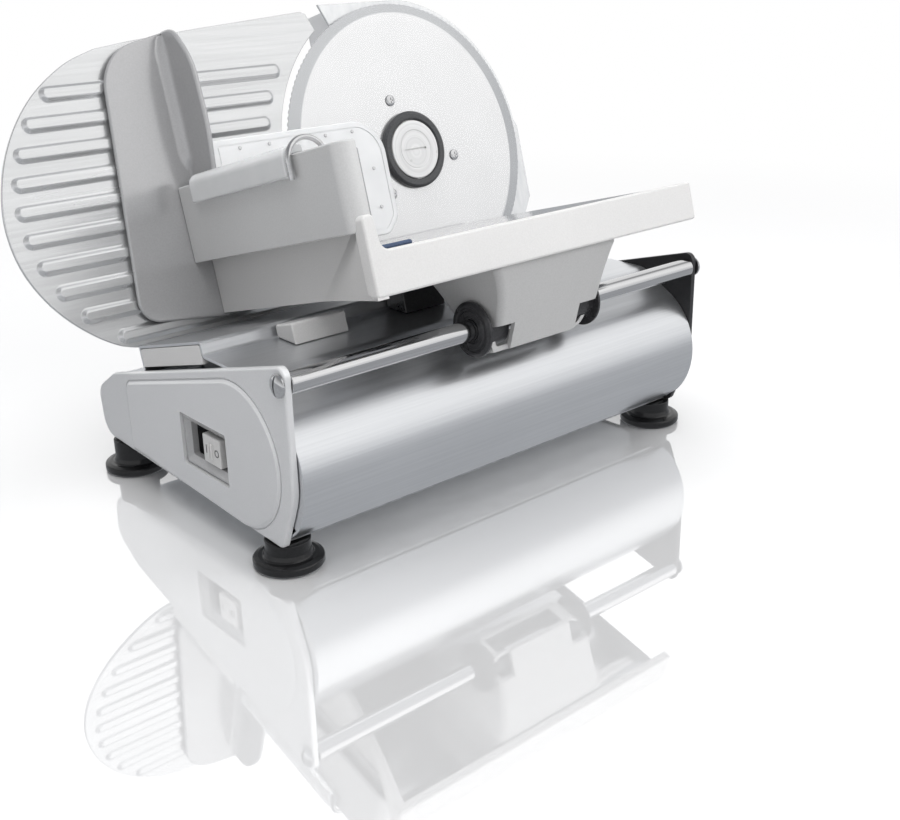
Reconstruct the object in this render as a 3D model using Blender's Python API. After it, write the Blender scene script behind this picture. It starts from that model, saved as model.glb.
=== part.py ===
# An electric food slicer: a sheet metal base with a motor inside, a raked blade with its guard and fence, and
# a carriage that slides on a rod along the front.
#
# Sizes are in metres. X is the way the carriage slides, Y runs from the operator to the back and Z is up. The
# origin is on the table, under the middle of the whole slicer. The base is drawn in a frame of its own, whose
# origin is on the table midway between the four feet.
#
# The blade, the fence and the carriage lean back together. Names that end in _A, _B or _C are places in that
# raked frame, measured from the blade's centre: A along X, B back and down, C up and back.

import math

import bmesh
import bpy
from mathutils import Vector

# The raked frame and the gaps between pieces
RAKE_DEGREES = 15.5
HUB_X = 0.0775
HUB_Y = 0.0770
HUB_Z = 0.1632
FIT_GAP = 0.0003
RUN_GAP = 0.0005
OVERRUN = 0.0020

# Base: two end plates with a wrap-round skin between them
BASE_LENGTH = 0.3000
END_PLATE_WALL = 0.0040
SKIN_WALL = 0.0015
BASE_FRONT_Y = -0.1058
BASE_BACK_Y = 0.1010
PLATE_TOP_C = -0.0960
PLATE_NOSE_RADIUS = 0.0050
PLATE_CHIN_Z = 0.0460
PLATE_CHIN_RADIUS = 0.0350
PLATE_TOE_Y = -0.0930
PLATE_TOE_Z = 0.0148
PLATE_TOE_RADIUS = 0.0040
PLATE_HEEL_Y = 0.0980
PLATE_HEEL_Z = 0.0203
PLATE_HEEL_RADIUS = 0.0120
PLATE_BACK_Z = 0.0490
PLATE_BACK_RADIUS = 0.0120
PLATE_SHOULDER_Y = 0.0780
PLATE_SHOULDER_RADIUS = 0.0100
PANEL_RAISE = 0.0007
PANEL_ROUND_Y = -0.0570
PANEL_ROUND_Z = 0.0550
PANEL_ROUND_RADIUS = 0.0390
PANEL_BACK_Y = 0.0620
PANEL_BACK_RADIUS = 0.0070
PANEL_EDGE_LIFT = 0.0022

# Skin: a round front, a low deck, a ridge, a flat strip and a sloping back
SKIN_ROUND_Y = -0.0700
SKIN_ROUND_Z = 0.0510
SKIN_ROUND_RADIUS = 0.0400
SKIN_ROUND_DEGREES = (222.0, 115.0)
SKIN_INSET = 0.0010
SKIN_LIP_RADIUS = 0.0030
SKIN_FRONT_LIP = 0.0035
SKIN_BACK_LIP = 0.0075
SKIN_TOE_SHARE = 0.53
SKIN_BACK_RADIUS = 0.0100
SKIN_HEEL_RADIUS = 0.0050
DECK_FRONT_Y = -0.0683
DECK_FRONT_RADIUS = 0.0150
DECK_Z = 0.0982
STRIP_C = -0.0970
STRIP_BACK_B = 0.0270
RIDGE_TOP_C = -0.0820
RIDGE_FRONT_B = -0.0800
RIDGE_BACK_B = -0.0060
RIDGE_RADIUS = 0.0020
RIDGE_CAP_WALL = 0.0030
RIDGE_CAP_FOOT = 0.0120
BOTTOM_LIFT = 0.0005
BOTTOM_WALL = 0.0015
BOTTOM_MARGIN = 0.0040

# Feet
FOOT_INSET_X = 0.0100
FOOT_SPREAD_Y = 0.0822
FOOT_RADIUS = 0.0185
FOOT_NECK_RADIUS = 0.0120
FOOT_DISC_HEIGHT = 0.0055
FOOT_RECESS_RADIUS = 0.0065
FOOT_RECESS_DEPTH = 0.0050
FOOT_EDGE = 0.0015
FOOT_STUD_RADIUS = 0.0040
FOOT_STUD_REACH = 0.0040

# Guide rod along the front, held by a screw at each end
ROD_Y = -0.1016
ROD_Z = 0.1039
ROD_RADIUS = 0.0055
ROD_SCREW_RADIUS = 0.0020
ROD_SCREW_REACH = 0.0120
ROD_SCREW_HEAD_RADIUS = 0.0060
ROD_SCREW_DOME = 0.0032
ROD_SCREW_SLOT = 0.0012

# Switch in the left end plate
SWITCH_Y = -0.0245
SWITCH_Z = 0.0478
SWITCH_LENGTH = 0.0456
SWITCH_HEIGHT = 0.0290
SWITCH_WINDOW_LENGTH = 0.0370
SWITCH_WINDOW_HEIGHT = 0.0192
SWITCH_RECESS = 0.0012
SWITCH_FLANGE = 0.0045
SWITCH_FLANGE_WALL = 0.0020
SWITCH_BODY_DEPTH = 0.0180
SWITCH_POCKET = 0.0080
SWITCH_BODY_MARGIN = 0.0020
SLIDER_LENGTH = 0.0170
SLIDER_HEIGHT = 0.0160
SLIDER_PROUD = 0.0060
SLIDER_TRAVEL = 0.0100
SLIDER_NUB_LENGTH = 0.0040
SLIDER_NUB = 0.0014

# Blade and what turns with it
BLADE_RADIUS = 0.0950
BLADE_THICKNESS = 0.0020
BLADE_BEVEL = 0.0090
BLADE_EDGE = 0.0006
BUSH_BORE_RADIUS = 0.0063
BUSH_RADIUS = 0.0094
BUSH_FRONT_B = 0.0072
HUB_RING_RADIUS = 0.0250
HUB_RING_INNER = 0.0195
HUB_RING_HEIGHT = 0.0037
LOCK_DISC_HEIGHT = 0.0033
LOCK_STEM_END_B = 0.0066
LOCK_SLOT_LENGTH = 0.0180
LOCK_SLOT_WIDTH = 0.0014
LOCK_SLOT_DEPTH = 0.0010
LOCK_SLOT_ROUND_SHARE = 0.45
BLADE_SCREW_CIRCLE = 0.0350
BLADE_SCREW_DEGREES = (107.5, -12.5, -132.5)
BLADE_SCREW_RADIUS = 0.0020
BLADE_SCREW_HEAD_RADIUS = 0.0036
BLADE_SCREW_HEAD = 0.0010
FLANGE_RADIUS = 0.0385
FLANGE_THICKNESS = 0.0038
GEAR_RADIUS = 0.0360
GEAR_TOOTH = 0.0022
GEAR_TEETH = 36
GEAR_FRONT_B = 0.0090
GEAR_WIDTH = 0.0100
GEAR_HUB_RADIUS = 0.0130
GEAR_HUB_END_B = 0.0220
AXLE_FRONT_B = 0.0080

# Guard plate and gear housing behind the blade
GUARD_FRONT_B = 0.0030
GUARD_WALL = 0.0020
GUARD_HOLE_RADIUS = 0.0395
GUARD_LEFT_A = -0.0428
GUARD_HORN_A = -0.0487
GUARD_HORN_C = 0.0845
GUARD_TOP_C = 0.0977
GUARD_ROUND_RADIUS = 0.0990
GUARD_RIGHT_A = 0.1010
GUARD_RIGHT_C = 0.0050
GUARD_HIP_C = -0.0450
HOUSING_INSET = 0.0030
HOUSING_BACK_B = 0.0360
HOUSING_WALL = 0.0025
HOUSING_BOSS_RADIUS = 0.0100
GUARD_SCREW_PLACE_SHARES = ((0.72, 0.52), (-0.30, -0.72))
GUARD_SCREW_RADIUS = 0.0016
GUARD_SCREW_HEAD_RADIUS = 0.0032
GUARD_SCREW_HEAD = 0.0009
GUARD_SCREW_REACH = 0.0100
GUARD_BOSS_RADIUS = 0.0045

# Motor under the strip, with its worm up beside the blade gear
SHAFT_RADIUS = 0.0030
WORM_RADIUS = 0.0070
WORM_CORE_RADIUS = 0.0056
WORM_LENGTH = 0.0320
WORM_TURNS = 4
WORM_CLEARANCE = 0.0004
SHAFT_TOP_C = 0.0335
SHAFT_BOTTOM_C = -0.1270
SHAFT_HOLE_RADIUS = 0.0060
MOTOR_RADIUS = 0.0210
MOTOR_WALL = 0.0012
MOTOR_TOP_C = -0.1040
MOTOR_BOTTOM_C = -0.1300
MOTOR_CAP = 0.0037
MOTOR_CAP_BORE = 0.0060
STATOR_INNER = 0.0140
STATOR_LENGTH = 0.0180
ROTOR_RADIUS = 0.0130
ROTOR_LENGTH = 0.0170
MOTOR_BRACKET_LENGTH = 0.0460
MOTOR_BRACKET_FRONT_B = -0.0120
MOTOR_BRACKET_BACK_B = 0.0260
MOTOR_BRACKET_WALL = 0.0020
MOTOR_BRACKET_RING = 0.0120
BEARING_LENGTH = 0.0210
BEARING_HEIGHT = 0.0100
BEARING_FRONT_B = 0.0080
BEARING_BOTTOM_C = 0.0240

# Fence, its slide block and the knob that moves it
FENCE_FRONT_B = -0.0006
FENCE_WALL = 0.0020
FENCE_ROUND_A = -0.1930
FENCE_ROUND_C = -0.0035
FENCE_ROUND_RADIUS = 0.0843
FENCE_ROUND_SHARES = (
    (98.0, 1.020), (112.0, 1.000), (130.0, 0.981), (148.0, 0.974), (166.0, 0.984), (184.0, 1.004),
    (202.0, 1.012), (222.0, 1.006), (244.0, 1.010), (264.0, 0.985))
FENCE_SHOULDER_A = -0.1840
FENCE_SHOULDER_C = 0.0842
FENCE_MIDDLE_A = -0.1440
FENCE_MIDDLE_C = 0.0879
FENCE_TOP_A = -0.0654
FENCE_TOP_C = 0.0935
FENCE_CORNER_A = -0.0616
FENCE_CORNER_C = 0.0920
FENCE_THROAT_GAP = 0.0045
FENCE_THROAT_TOP_INSET = 0.0180
FENCE_BOTTOM_INSET = 0.0135
RIB_COUNT = 10
RIB_TOP_C = 0.0600
RIB_PITCH = 0.0150
RIB_WIDTH = 0.0070
RIB_RAISE = 0.0014
RIB_END_MARGIN = 0.0085
FENCE_TRAVEL = 0.0150
SLIDE_A = -0.1500
SLIDE_LENGTH = 0.0400
SLIDE_STEM_WALL = 0.0042
SLIDE_STEM_TOP_C = -0.0300
SLIDE_BLOCK_TOP_C = -0.1040
SLIDE_BLOCK_BOTTOM_C = -0.1240
SLIDE_BLOCK_FRONT_B = -0.0140
SLIDE_BLOCK_BACK_B = 0.0065
SLIDE_AXIS_C = -0.1140
FENCE_ROD_RADIUS = 0.0030
FENCE_ROD_SPACING = 0.0260
ROD_BRACKET_WALL = 0.0030
ROD_BRACKET_FRONT_B = -0.0230
ROD_BRACKET_BACK_B = 0.0225
ROD_BRACKET_LENGTH = 0.0440
ROD_BRACKET_BOTTOM_C = -0.1300
FENCE_SCREW_C = -0.0400
FENCE_SCREW_RADIUS = 0.0016
FENCE_SCREW_HEAD_RADIUS = 0.0030
FENCE_SCREW_HEAD = 0.0012
KNOB_RADIUS = 0.0170
KNOB_LENGTH = 0.0150
KNOB_FRONT_B = 0.0610
KNOB_FLUTES = 12
KNOB_FLUTE_SHARE = 0.93
KNOB_SOCKET_DEPTH = 0.0080
KNOB_BUSH_RADIUS = 0.0070
KNOB_BUSH_FRONT_B = 0.0500
SPINDLE_RADIUS = 0.0040
SPINDLE_FRONT_B = -0.0130

# Stop block on the deck
STOP_LEFT_A = -0.1795
STOP_RIGHT_A = -0.1445
STOP_FRONT_B = -0.0990
STOP_TOP_C = -0.0830

# Carriage
BAND_FRONT_B = -0.1965
BAND_WALL = 0.0060
BAND_TOP_C = -0.0530
BAND_BOTTOM_C = -0.0740
BAND_RIGHT_A = 0.0355
TRAY_LEFT_A = -0.1908
POST_WALL = 0.0066
POST_TOP_C = -0.0360
POST_BACK_B = -0.1885
POST_SEAT_SHARE = 0.70
WALL_LEFT_A = -0.1660
WALL_THICKNESS = 0.0030
TRAY_WALL = 0.0040
TRAY_WALL_TOP_C = -0.0438
TRAY_WALL_BOTTOM_C = -0.0750
FLARE_TOP_B = -0.1500
FLARE_BOTTOM_B = -0.1120
FLARE_POWER = 1.15
FLARE_STEPS = 5
TRAY_TOP_C = -0.0540
TRAY_TOP_WALL = 0.0015
TRAY_BACK_B = -0.0068
TRAY_LIP = 0.0060
THUMB_GUARD_FRONT_B = -0.0060
THUMB_GUARD_WALL = 0.0027
THUMB_GUARD_TOP_C = 0.0868
THUMB_GUARD_LEFT_TOP_A = -0.2046
THUMB_GUARD_LEFT_TOP_C = 0.0782
THUMB_GUARD_LEFT_BOTTOM_A = -0.2176
THUMB_GUARD_LEFT_BOTTOM_C = -0.0705
THUMB_GUARD_BOTTOM_C = -0.0773
THUMB_GUARD_TOP_RADIUS = 0.0280
THUMB_GUARD_BOTTOM_RADIUS = 0.0130
WALL_CREST_B = -0.0240
WALL_CREST_C = 0.0850
WALL_CREST_RADIUS = 0.0090
WALL_BROW_B = -0.0350
WALL_BROW_C = 0.0660
WALL_BROW_RADIUS = 0.0200
WALL_WAIST_B = -0.0345
WALL_WAIST_C = 0.0350
WALL_NECK_B = -0.0288
WALL_LOW_TOP_C = -0.0034
WALL_LOW_FRONT_B = -0.1669
LEG_TOP_LEFT_A = -0.1120
LEG_TOP_RIGHT_A = -0.0240
LEG_LEFT_A = -0.1030
LEG_RIGHT_A = -0.0285
LEG_FRONT_B = -0.1902
LEG_BACK_B = -0.1310
LEG_BOTTOM_FRONT_B = -0.1655
LEG_BOTTOM_BACK_B = -0.1475
LEG_BOTTOM_C = -0.1187
LEG_KNEE_C = -0.0755
LEG_LEVEL_SHARES = (0.0, 0.28, 0.64, 0.78, 0.90, 1.0)
LEG_SIDE_POWER = 3
LEG_BACK_POWER = 1.3
LEG_WALL = 0.0030
LEG_CORNER_RADIUS = 0.0040
LEG_TOE_RADIUS = 0.0160
LEG_WINDOW_TOP_C = -0.1050
LEG_WINDOW_LEFT = 0.0110
LEG_WINDOW_RIGHT = 0.0150
BUSHING_RADIUS = 0.0110
BUSHING_FLANGE_RADIUS = 0.0150
BUSHING_FLANGE = 0.0026
BUSHING_LENGTH = 0.0150
GLIDE_LEFT_A = -0.1040
GLIDE_RIGHT_A = -0.0750
GLIDE_FRONT_B = -0.0980
GLIDE_BACK_B = -0.0810
GLIDE_SHOULDER_C = -0.0754
GLIDE_STEM = 0.0080
BUMPER_LEFT_A = -0.1785
BUMPER_LENGTH = 0.0200
BUMPER_B = -0.1870
BUMPER_RADIUS = 0.0014

# Food pusher, which slides on the trailing wall
SADDLE_LEFT_A = -0.1773
SADDLE_WALL = 0.0024
SADDLE_BOTTOM_C = -0.0435
SADDLE_FRONT_B = -0.1700
SADDLE_BACK_B = -0.0064
SADDLE_NOSE_RADIUS = 0.0080
SADDLE_WEB_FRONT_B = -0.1500
SADDLE_WEB_BACK_B = -0.0400
SADDLE_WEB = 0.0028
SADDLE_SKIRT_BOTTOM_C = -0.0220
BAR_LEFT_A = -0.1815
BAR_RIGHT_A = -0.1685
BAR_BOTTOM_C = -0.0110
BAR_TOP_C = 0.0046
BAR_RADIUS = 0.0060
BAR_FRONT_B = -0.1280
BAR_BACK_B = -0.0270
WIRE_RADIUS = 0.0015
WIRE_ARCH_A = -0.1686
WIRE_ARCH_C = -0.0040
WIRE_ARCH_RADIUS = 0.0114
WIRE_LEFT_DROP = 0.0085
WIRE_B = -0.1305
ARM_THICKNESS = 0.0090
ARM_TOP_C = -0.0140
ARM_BOTTOM_C = -0.0220
ARM_FRONT_B = -0.1345
PUSHER_LEFT_A = -0.1600
PUSHER_RIGHT_A = -0.0393
PUSHER_WAIST_A = -0.0480
PUSHER_TOP_C = 0.0215
PUSHER_BOTTOM_C = -0.0500
PUSHER_WAIST_C = -0.0400
PUSHER_CORNER_RADIUS = 0.0220
PUSHER_WAIST_RADIUS = 0.0080
PUSHER_FRONT_B = -0.0240
PUSHER_WALL = 0.0035
SPIKE_RADIUS = 0.0011
SPIKE_LENGTH = 0.0080
SPIKE_HEAD = 0.0005
SPIKE_PITCH = 0.0200
SPIKE_ROW_PITCH = 0.0240
SPIKE_TOP_MARGIN = 0.0060
SPIKE_LEFT_MARGIN = 0.0180
SPIKE_RIGHT_MARGIN = 0.0120
SPIKE_COLUMNS = 5
SPIKE_ROWS = 3

# Electric pieces inside the base
GLAND_INSET_X = 0.0500
GLAND_Z = 0.0380
GLAND_RADIUS = 0.0060
GLAND_FLANGE_RADIUS = 0.0095
GLAND_BORE_RADIUS = 0.0036
GLAND_FLANGE = 0.0020
GLAND_REACH = 0.0100
TERMINAL_X = 0.0400
TERMINAL_LENGTH = 0.0320
TERMINAL_WIDTH = 0.0140
TERMINAL_HEIGHT = 0.0100
TERMINAL_Y = 0.0550

# Facets
BIG_STEPS = 60
SMALL_STEPS = 20
ARC_STEP_DEGREES = 15.0
SHARP_DEGREES = 35.0

RAKE = math.radians(RAKE_DEGREES)
RAKE_SIN = math.sin(RAKE)
RAKE_COS = math.cos(RAKE)
HALF_BASE = BASE_LENGTH / 2
SKIN_END = HALF_BASE - END_PLATE_WALL - FIT_GAP
FOOT_SPREAD_X = HALF_BASE - FOOT_INSET_X
GLAND_X = HALF_BASE - GLAND_INSET_X
FENCE_THROAT_RADIUS = BLADE_RADIUS + FENCE_THROAT_GAP
FENCE_THROAT_TOP_C = FENCE_THROAT_RADIUS - FENCE_THROAT_TOP_INSET
FENCE_BOTTOM_C = FENCE_BOTTOM_INSET - FENCE_THROAT_RADIUS
BLADE_BACK_B = BLADE_THICKNESS / 2
FLANGE_FRONT_B = BLADE_BACK_B + FIT_GAP
HUB_FRONT_B = -BLADE_BACK_B - FIT_GAP
WORM_A = GEAR_RADIUS + WORM_CLEARANCE + WORM_RADIUS
WORM_B = GEAR_FRONT_B + GEAR_WIDTH / 2
WALL_RIGHT_A = WALL_LEFT_A + WALL_THICKNESS
GUARD_BACK_B = GUARD_FRONT_B + GUARD_WALL
HOUSING_FRONT_B = GUARD_BACK_B + FIT_GAP
TRAY_UNDER_C = TRAY_TOP_C - TRAY_TOP_WALL
LEG_TOP_C = TRAY_UNDER_C - FIT_GAP
MIDDLE_X = HUB_X + (FENCE_ROUND_A - FENCE_ROUND_RADIUS + GUARD_RIGHT_A) / 2
MIDDLE_Y = HUB_Y + ((BAND_FRONT_B + HOUSING_BACK_B) * RAKE_COS + (BAND_BOTTOM_C + GUARD_TOP_C) * RAKE_SIN) / 2

# Colour, roughness and metal of each finish
FINISHES = {
    "brushed steel": ((0.58, 0.60, 0.62), 0.32, 1.0),
    "bright steel": ((0.80, 0.80, 0.80), 0.18, 1.0),
    "painted silver": ((0.62, 0.63, 0.65), 0.35, 0.6),
    "black paint": ((0.02, 0.02, 0.022), 0.40, 0.0),
    "black rubber": ((0.015, 0.015, 0.016), 0.65, 0.0),
    "pale plastic": ((0.66, 0.66, 0.65), 0.38, 0.0),
    "grey plastic": ((0.42, 0.42, 0.43), 0.30, 0.0),
    "clear plastic": ((0.85, 0.87, 0.88), 0.10, 0.0),
    "dark plastic": ((0.05, 0.05, 0.055), 0.45, 0.0),
    "gear nylon": ((0.72, 0.70, 0.62), 0.50, 0.0),
    "bronze": ((0.55, 0.38, 0.20), 0.40, 1.0),
    "zinc steel": ((0.50, 0.50, 0.50), 0.45, 1.0),
    "copper": ((0.72, 0.40, 0.25), 0.40, 1.0),
}


def clear_scene():
    for item in list(bpy.data.objects):
        bpy.data.objects.remove(item, do_unlink=True)


# Places on the base that follow the rake

def raked(b, c):
    """The (y, z) of a place in the raked frame."""
    return HUB_Y + b * RAKE_COS + c * RAKE_SIN, HUB_Z - b * RAKE_SIN + c * RAKE_COS


def height_on(c, y):
    """The height at y of the raked plane that lies at c."""
    return HUB_Z + (c - (y - HUB_Y) * RAKE_SIN) / RAKE_COS


def reach_on(b, z):
    """The y at height z of the raked plane that lies at b."""
    return HUB_Y + (b + (z - HUB_Z) * RAKE_SIN) / RAKE_COS


def deck_c(b, lift):
    """How far along C the level deck, raised by lift, lies at b."""
    return b * math.tan(RAKE) + (DECK_Z + lift - HUB_Z) / RAKE_COS


def floor_z(y):
    """The lower edge of the end plates, which rises towards the back."""
    slope = (PLATE_HEEL_Z - PLATE_TOE_Z) / (PLATE_HEEL_Y - PLATE_TOE_Y)
    return PLATE_TOE_Z + (y - PLATE_TOE_Y) * slope


# Outlines

def arc(centre_u, centre_v, radius, start, end):
    """Points on an arc between two angles in degrees, ends included."""
    count = max(2, math.ceil(abs(end - start) / ARC_STEP_DEGREES))
    points = []
    for index in range(count + 1):
        angle = math.radians(start + (end - start) * index / count)
        points.append((centre_u + radius * math.cos(angle), centre_v + radius * math.sin(angle)))
    return points


def circle(centre_u, centre_v, radius, steps=SMALL_STEPS):
    angles = [math.tau * index / steps for index in range(steps)]
    return [(centre_u + radius * math.cos(a), centre_v + radius * math.sin(a)) for a in angles]


def rounded(corners, closed=True):
    """An outline through corners (u, v, radius), each rounded with its own radius."""
    points = []
    count = len(corners)
    for index, (u, v, radius) in enumerate(corners):
        inner = closed or 0 < index < count - 1
        if radius == 0 or not inner:
            points.append((u, v))
            continue
        here = Vector((u, v))
        back = (Vector(corners[index - 1][:2]) - here).normalized()
        onward = (Vector(corners[(index + 1) % count][:2]) - here).normalized()
        half = back.angle(onward) / 2
        centre = here + (back + onward).normalized() * (radius / math.sin(half))
        start = here + back * (radius / math.tan(half)) - centre
        end = here + onward * (radius / math.tan(half)) - centre
        first = math.degrees(math.atan2(start.y, start.x))
        turn = math.degrees(math.atan2(end.y, end.x)) - first
        turn = (turn + 180.0) % 360.0 - 180.0
        points.extend(arc(centre.x, centre.y, radius, first, first + turn))
    return points


def rounded_box(low_u, high_u, low_v, high_v, radius):
    corners = [(low_u, low_v), (high_u, low_v), (high_u, high_v), (low_u, high_v)]
    return rounded([(u, v, radius) for u, v in corners])


def thickened(path, wall):
    """The closed outline of a sheet: the path, and the path moved to its right by the wall."""
    points = [Vector(point) for point in path]
    moved = []
    for index, here in enumerate(points):
        before = points[max(index - 1, 0)]
        after = points[min(index + 1, len(points) - 1)]
        into = (here - before) if index else (after - here)
        out = (after - here) if index < len(points) - 1 else into
        side_in = Vector((into.y, -into.x)).normalized()
        side_out = Vector((out.y, -out.x)).normalized()
        middle = (side_in + side_out).normalized()
        moved.append(here + middle * (wall / middle.dot(side_in)))
    return [tuple(point) for point in points] + [tuple(point) for point in reversed(moved)]


# Shapes. Each takes a bmesh and adds one closed solid to it.

def placed(axis, u, v, w):
    """A point of an outline (u, v) that stands at w along the axis."""
    if axis == "x":
        return (w, u, v)
    if axis == "y":
        return (u, w, v)
    return (u, v, w)


def add_prism(shape, outline, axis, low, high):
    bottom = [shape.verts.new(placed(axis, u, v, low)) for u, v in outline]
    top = [shape.verts.new(placed(axis, u, v, high)) for u, v in outline]
    join_rings(shape, [bottom, top])


def add_box(shape, low, high):
    outline = [(low[0], low[1]), (high[0], low[1]), (high[0], high[1]), (low[0], high[1])]
    add_prism(shape, outline, "z", low[2], high[2])


def add_loft(shape, rings):
    """A solid through rings of points, each ring with as many points, closed at both ends."""
    join_rings(shape, [[shape.verts.new(point) for point in ring] for ring in rings])


def join_rings(shape, rings):
    count = len(rings[0])
    for lower, upper in zip(rings, rings[1:]):
        for index in range(count):
            following = (index + 1) % count
            shape.faces.new((lower[index], lower[following], upper[following], upper[index]))
    shape.faces.new(list(reversed(rings[0])))
    shape.faces.new(rings[-1])


def add_turned(shape, profile, axis, centre=(0.0, 0.0), steps=SMALL_STEPS):
    """A turned solid. The profile is a closed outline of (radius, place along the axis)."""
    rings = []
    for index in range(steps):
        angle = math.tau * index / steps
        ring = []
        for radius, along in profile:
            u = centre[0] + radius * math.cos(angle)
            v = centre[1] + radius * math.sin(angle)
            ring.append(shape.verts.new(placed(axis, u, v, along)))
        rings.append(ring)
    count = len(profile)
    for index, ring in enumerate(rings):
        beside = rings[(index + 1) % steps]
        for place in range(count):
            following = (place + 1) % count
            if profile[place][0] == 0 and profile[following][0] == 0:
                continue
            shape.faces.new((ring[place], ring[following], beside[following], beside[place]))


def add_cylinder(shape, radius, axis, low, high, centre=(0.0, 0.0), steps=SMALL_STEPS):
    add_prism(shape, circle(centre[0], centre[1], radius, steps), axis, low, high)


def add_ring(shape, inner, outer, axis, low, high, centre=(0.0, 0.0), steps=SMALL_STEPS):
    profile = [(inner, low), (outer, low), (outer, high), (inner, high)]
    add_turned(shape, profile, axis, centre, steps)


def add_tube(shape, path, radius, steps):
    """A round bar along a path that lies in a plane of constant Y."""
    rings = []
    last = len(path) - 1
    for index, here in enumerate(path):
        along = (Vector(path[min(index + 1, last)]) - Vector(path[max(index - 1, 0)])).normalized()
        side = Vector((0.0, 1.0, 0.0))
        up = side.cross(along)
        ring = []
        for step in range(steps):
            angle = math.tau * step / steps
            ring.append(Vector(here) + side * radius * math.cos(angle) + up * radius * math.sin(angle))
        rings.append(ring)
    add_loft(shape, rings)


# Objects

def new_shape():
    return bmesh.new()


def closed_mesh(name, shape):
    bmesh.ops.remove_doubles(shape, verts=shape.verts, dist=FIT_GAP / 100)
    bmesh.ops.recalc_face_normals(shape, faces=shape.faces)
    mesh = bpy.data.meshes.new(name)
    shape.to_mesh(mesh)
    shape.free()
    mesh.shade_smooth()
    mesh.set_sharp_from_angle(angle=math.radians(SHARP_DEGREES))
    return mesh


def finish_material(name, finish):
    colour, roughness, metallic = FINISHES[finish]
    material = bpy.data.materials.new(name)
    material.use_nodes = True
    shader = material.node_tree.nodes["Principled BSDF"]
    shader.inputs["Base Color"].default_value = (*colour, 1.0)
    shader.inputs["Roughness"].default_value = roughness
    shader.inputs["Metallic"].default_value = metallic
    return material


def new_frame(name, place, rake, parent=None):
    frame = bpy.data.objects.new(name, None)
    frame.empty_display_size = BLADE_RADIUS
    frame.location = place
    frame.rotation_euler = (-rake, 0.0, 0.0)
    frame.parent = parent
    bpy.context.collection.objects.link(frame)
    return frame


def add_piece(name, shape, finish, frame, place=(0.0, 0.0, 0.0)):
    """One named piece, with its origin at a place in its frame and its shape measured from there."""
    piece = bpy.data.objects.new(name, closed_mesh(name, shape))
    piece.data.materials.append(finish_material(name, finish))
    piece.parent = frame
    piece.location = place
    bpy.context.collection.objects.link(piece)
    return piece


def combine(piece, shape, operation):
    tool = bpy.data.objects.new(piece.name + "_" + operation.lower(), closed_mesh(piece.name + "_tool", shape))
    tool.parent = piece.parent
    tool.location = piece.location
    tool.hide_render = True
    tool.display_type = "WIRE"
    bpy.context.collection.objects.link(tool)
    modifier = piece.modifiers.new(operation.lower(), "BOOLEAN")
    modifier.operation = operation
    modifier.object = tool


def cut(piece, shape):
    combine(piece, shape, "DIFFERENCE")


def weld(piece, shape):
    combine(piece, shape, "UNION")


# Base

def plate_outline():
    return rounded([
        (BASE_FRONT_Y, height_on(PLATE_TOP_C, BASE_FRONT_Y), PLATE_NOSE_RADIUS),
        (BASE_FRONT_Y, PLATE_CHIN_Z, PLATE_CHIN_RADIUS),
        (PLATE_TOE_Y, PLATE_TOE_Z, PLATE_TOE_RADIUS),
        (PLATE_HEEL_Y, PLATE_HEEL_Z, PLATE_HEEL_RADIUS),
        (BASE_BACK_Y, PLATE_BACK_Z, PLATE_BACK_RADIUS),
        (PLATE_SHOULDER_Y, height_on(PLATE_TOP_C, PLATE_SHOULDER_Y), PLATE_SHOULDER_RADIUS),
    ])


def panel_outline():
    """The raised panel on the left plate: a round front, then straight to an upright back edge."""
    lean = 90.0 - RAKE_DEGREES
    front = arc(PANEL_ROUND_Y, PANEL_ROUND_Z, PANEL_ROUND_RADIUS, 270.0, lean)
    top_y, top_z = front[-1]
    back_top = top_z - (PANEL_BACK_Y - top_y) * math.tan(RAKE)
    back_low = floor_z(PANEL_BACK_Y) + PANEL_EDGE_LIFT
    back = rounded([
        (top_y, top_z, 0),
        (PANEL_BACK_Y, back_top, PANEL_BACK_RADIUS),
        (PANEL_BACK_Y, back_low, 0),
    ], closed=False)
    return front + back[1:]


def lip_z(y):
    """The underside of the skin's lips, which rest on the bottom plate."""
    return floor_z(y) + BOTTOM_LIFT + BOTTOM_WALL + FIT_GAP


def skin_path():
    """The skin's outer line in (y, z), from the front lip over the top to the back lip."""
    toe_y = PLATE_TOE_Y + PLATE_TOE_RADIUS * SKIN_TOE_SHARE
    heel_y = BASE_BACK_Y - PLATE_TOE_RADIUS
    back_y = BASE_BACK_Y - SKIN_INSET
    front_lip = (toe_y + SKIN_FRONT_LIP, lip_z(toe_y + SKIN_FRONT_LIP))
    front = arc(SKIN_ROUND_Y, SKIN_ROUND_Z, SKIN_ROUND_RADIUS, *SKIN_ROUND_DEGREES)
    toe = rounded([
        (*front_lip, 0),
        (toe_y, lip_z(toe_y), SKIN_LIP_RADIUS),
        (*front[0], 0),
    ], closed=False)
    top = rounded([
        (*front[-1], 0),
        (DECK_FRONT_Y, DECK_Z, DECK_FRONT_RADIUS),
        (reach_on(RIDGE_FRONT_B, DECK_Z), DECK_Z, RIDGE_RADIUS),
        (*raked(RIDGE_FRONT_B, RIDGE_TOP_C), RIDGE_RADIUS),
        (*raked(RIDGE_BACK_B, RIDGE_TOP_C), RIDGE_RADIUS),
        (*raked(RIDGE_BACK_B, STRIP_C), RIDGE_RADIUS),
        (*raked(STRIP_BACK_B, STRIP_C), SKIN_BACK_RADIUS),
        (back_y, PLATE_BACK_Z - SKIN_INSET, SKIN_BACK_RADIUS),
        (heel_y, lip_z(heel_y), SKIN_HEEL_RADIUS),
        (heel_y - SKIN_BACK_LIP, lip_z(heel_y - SKIN_BACK_LIP), 0),
    ], closed=False)
    return toe[:-1] + front + top[1:]


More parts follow.
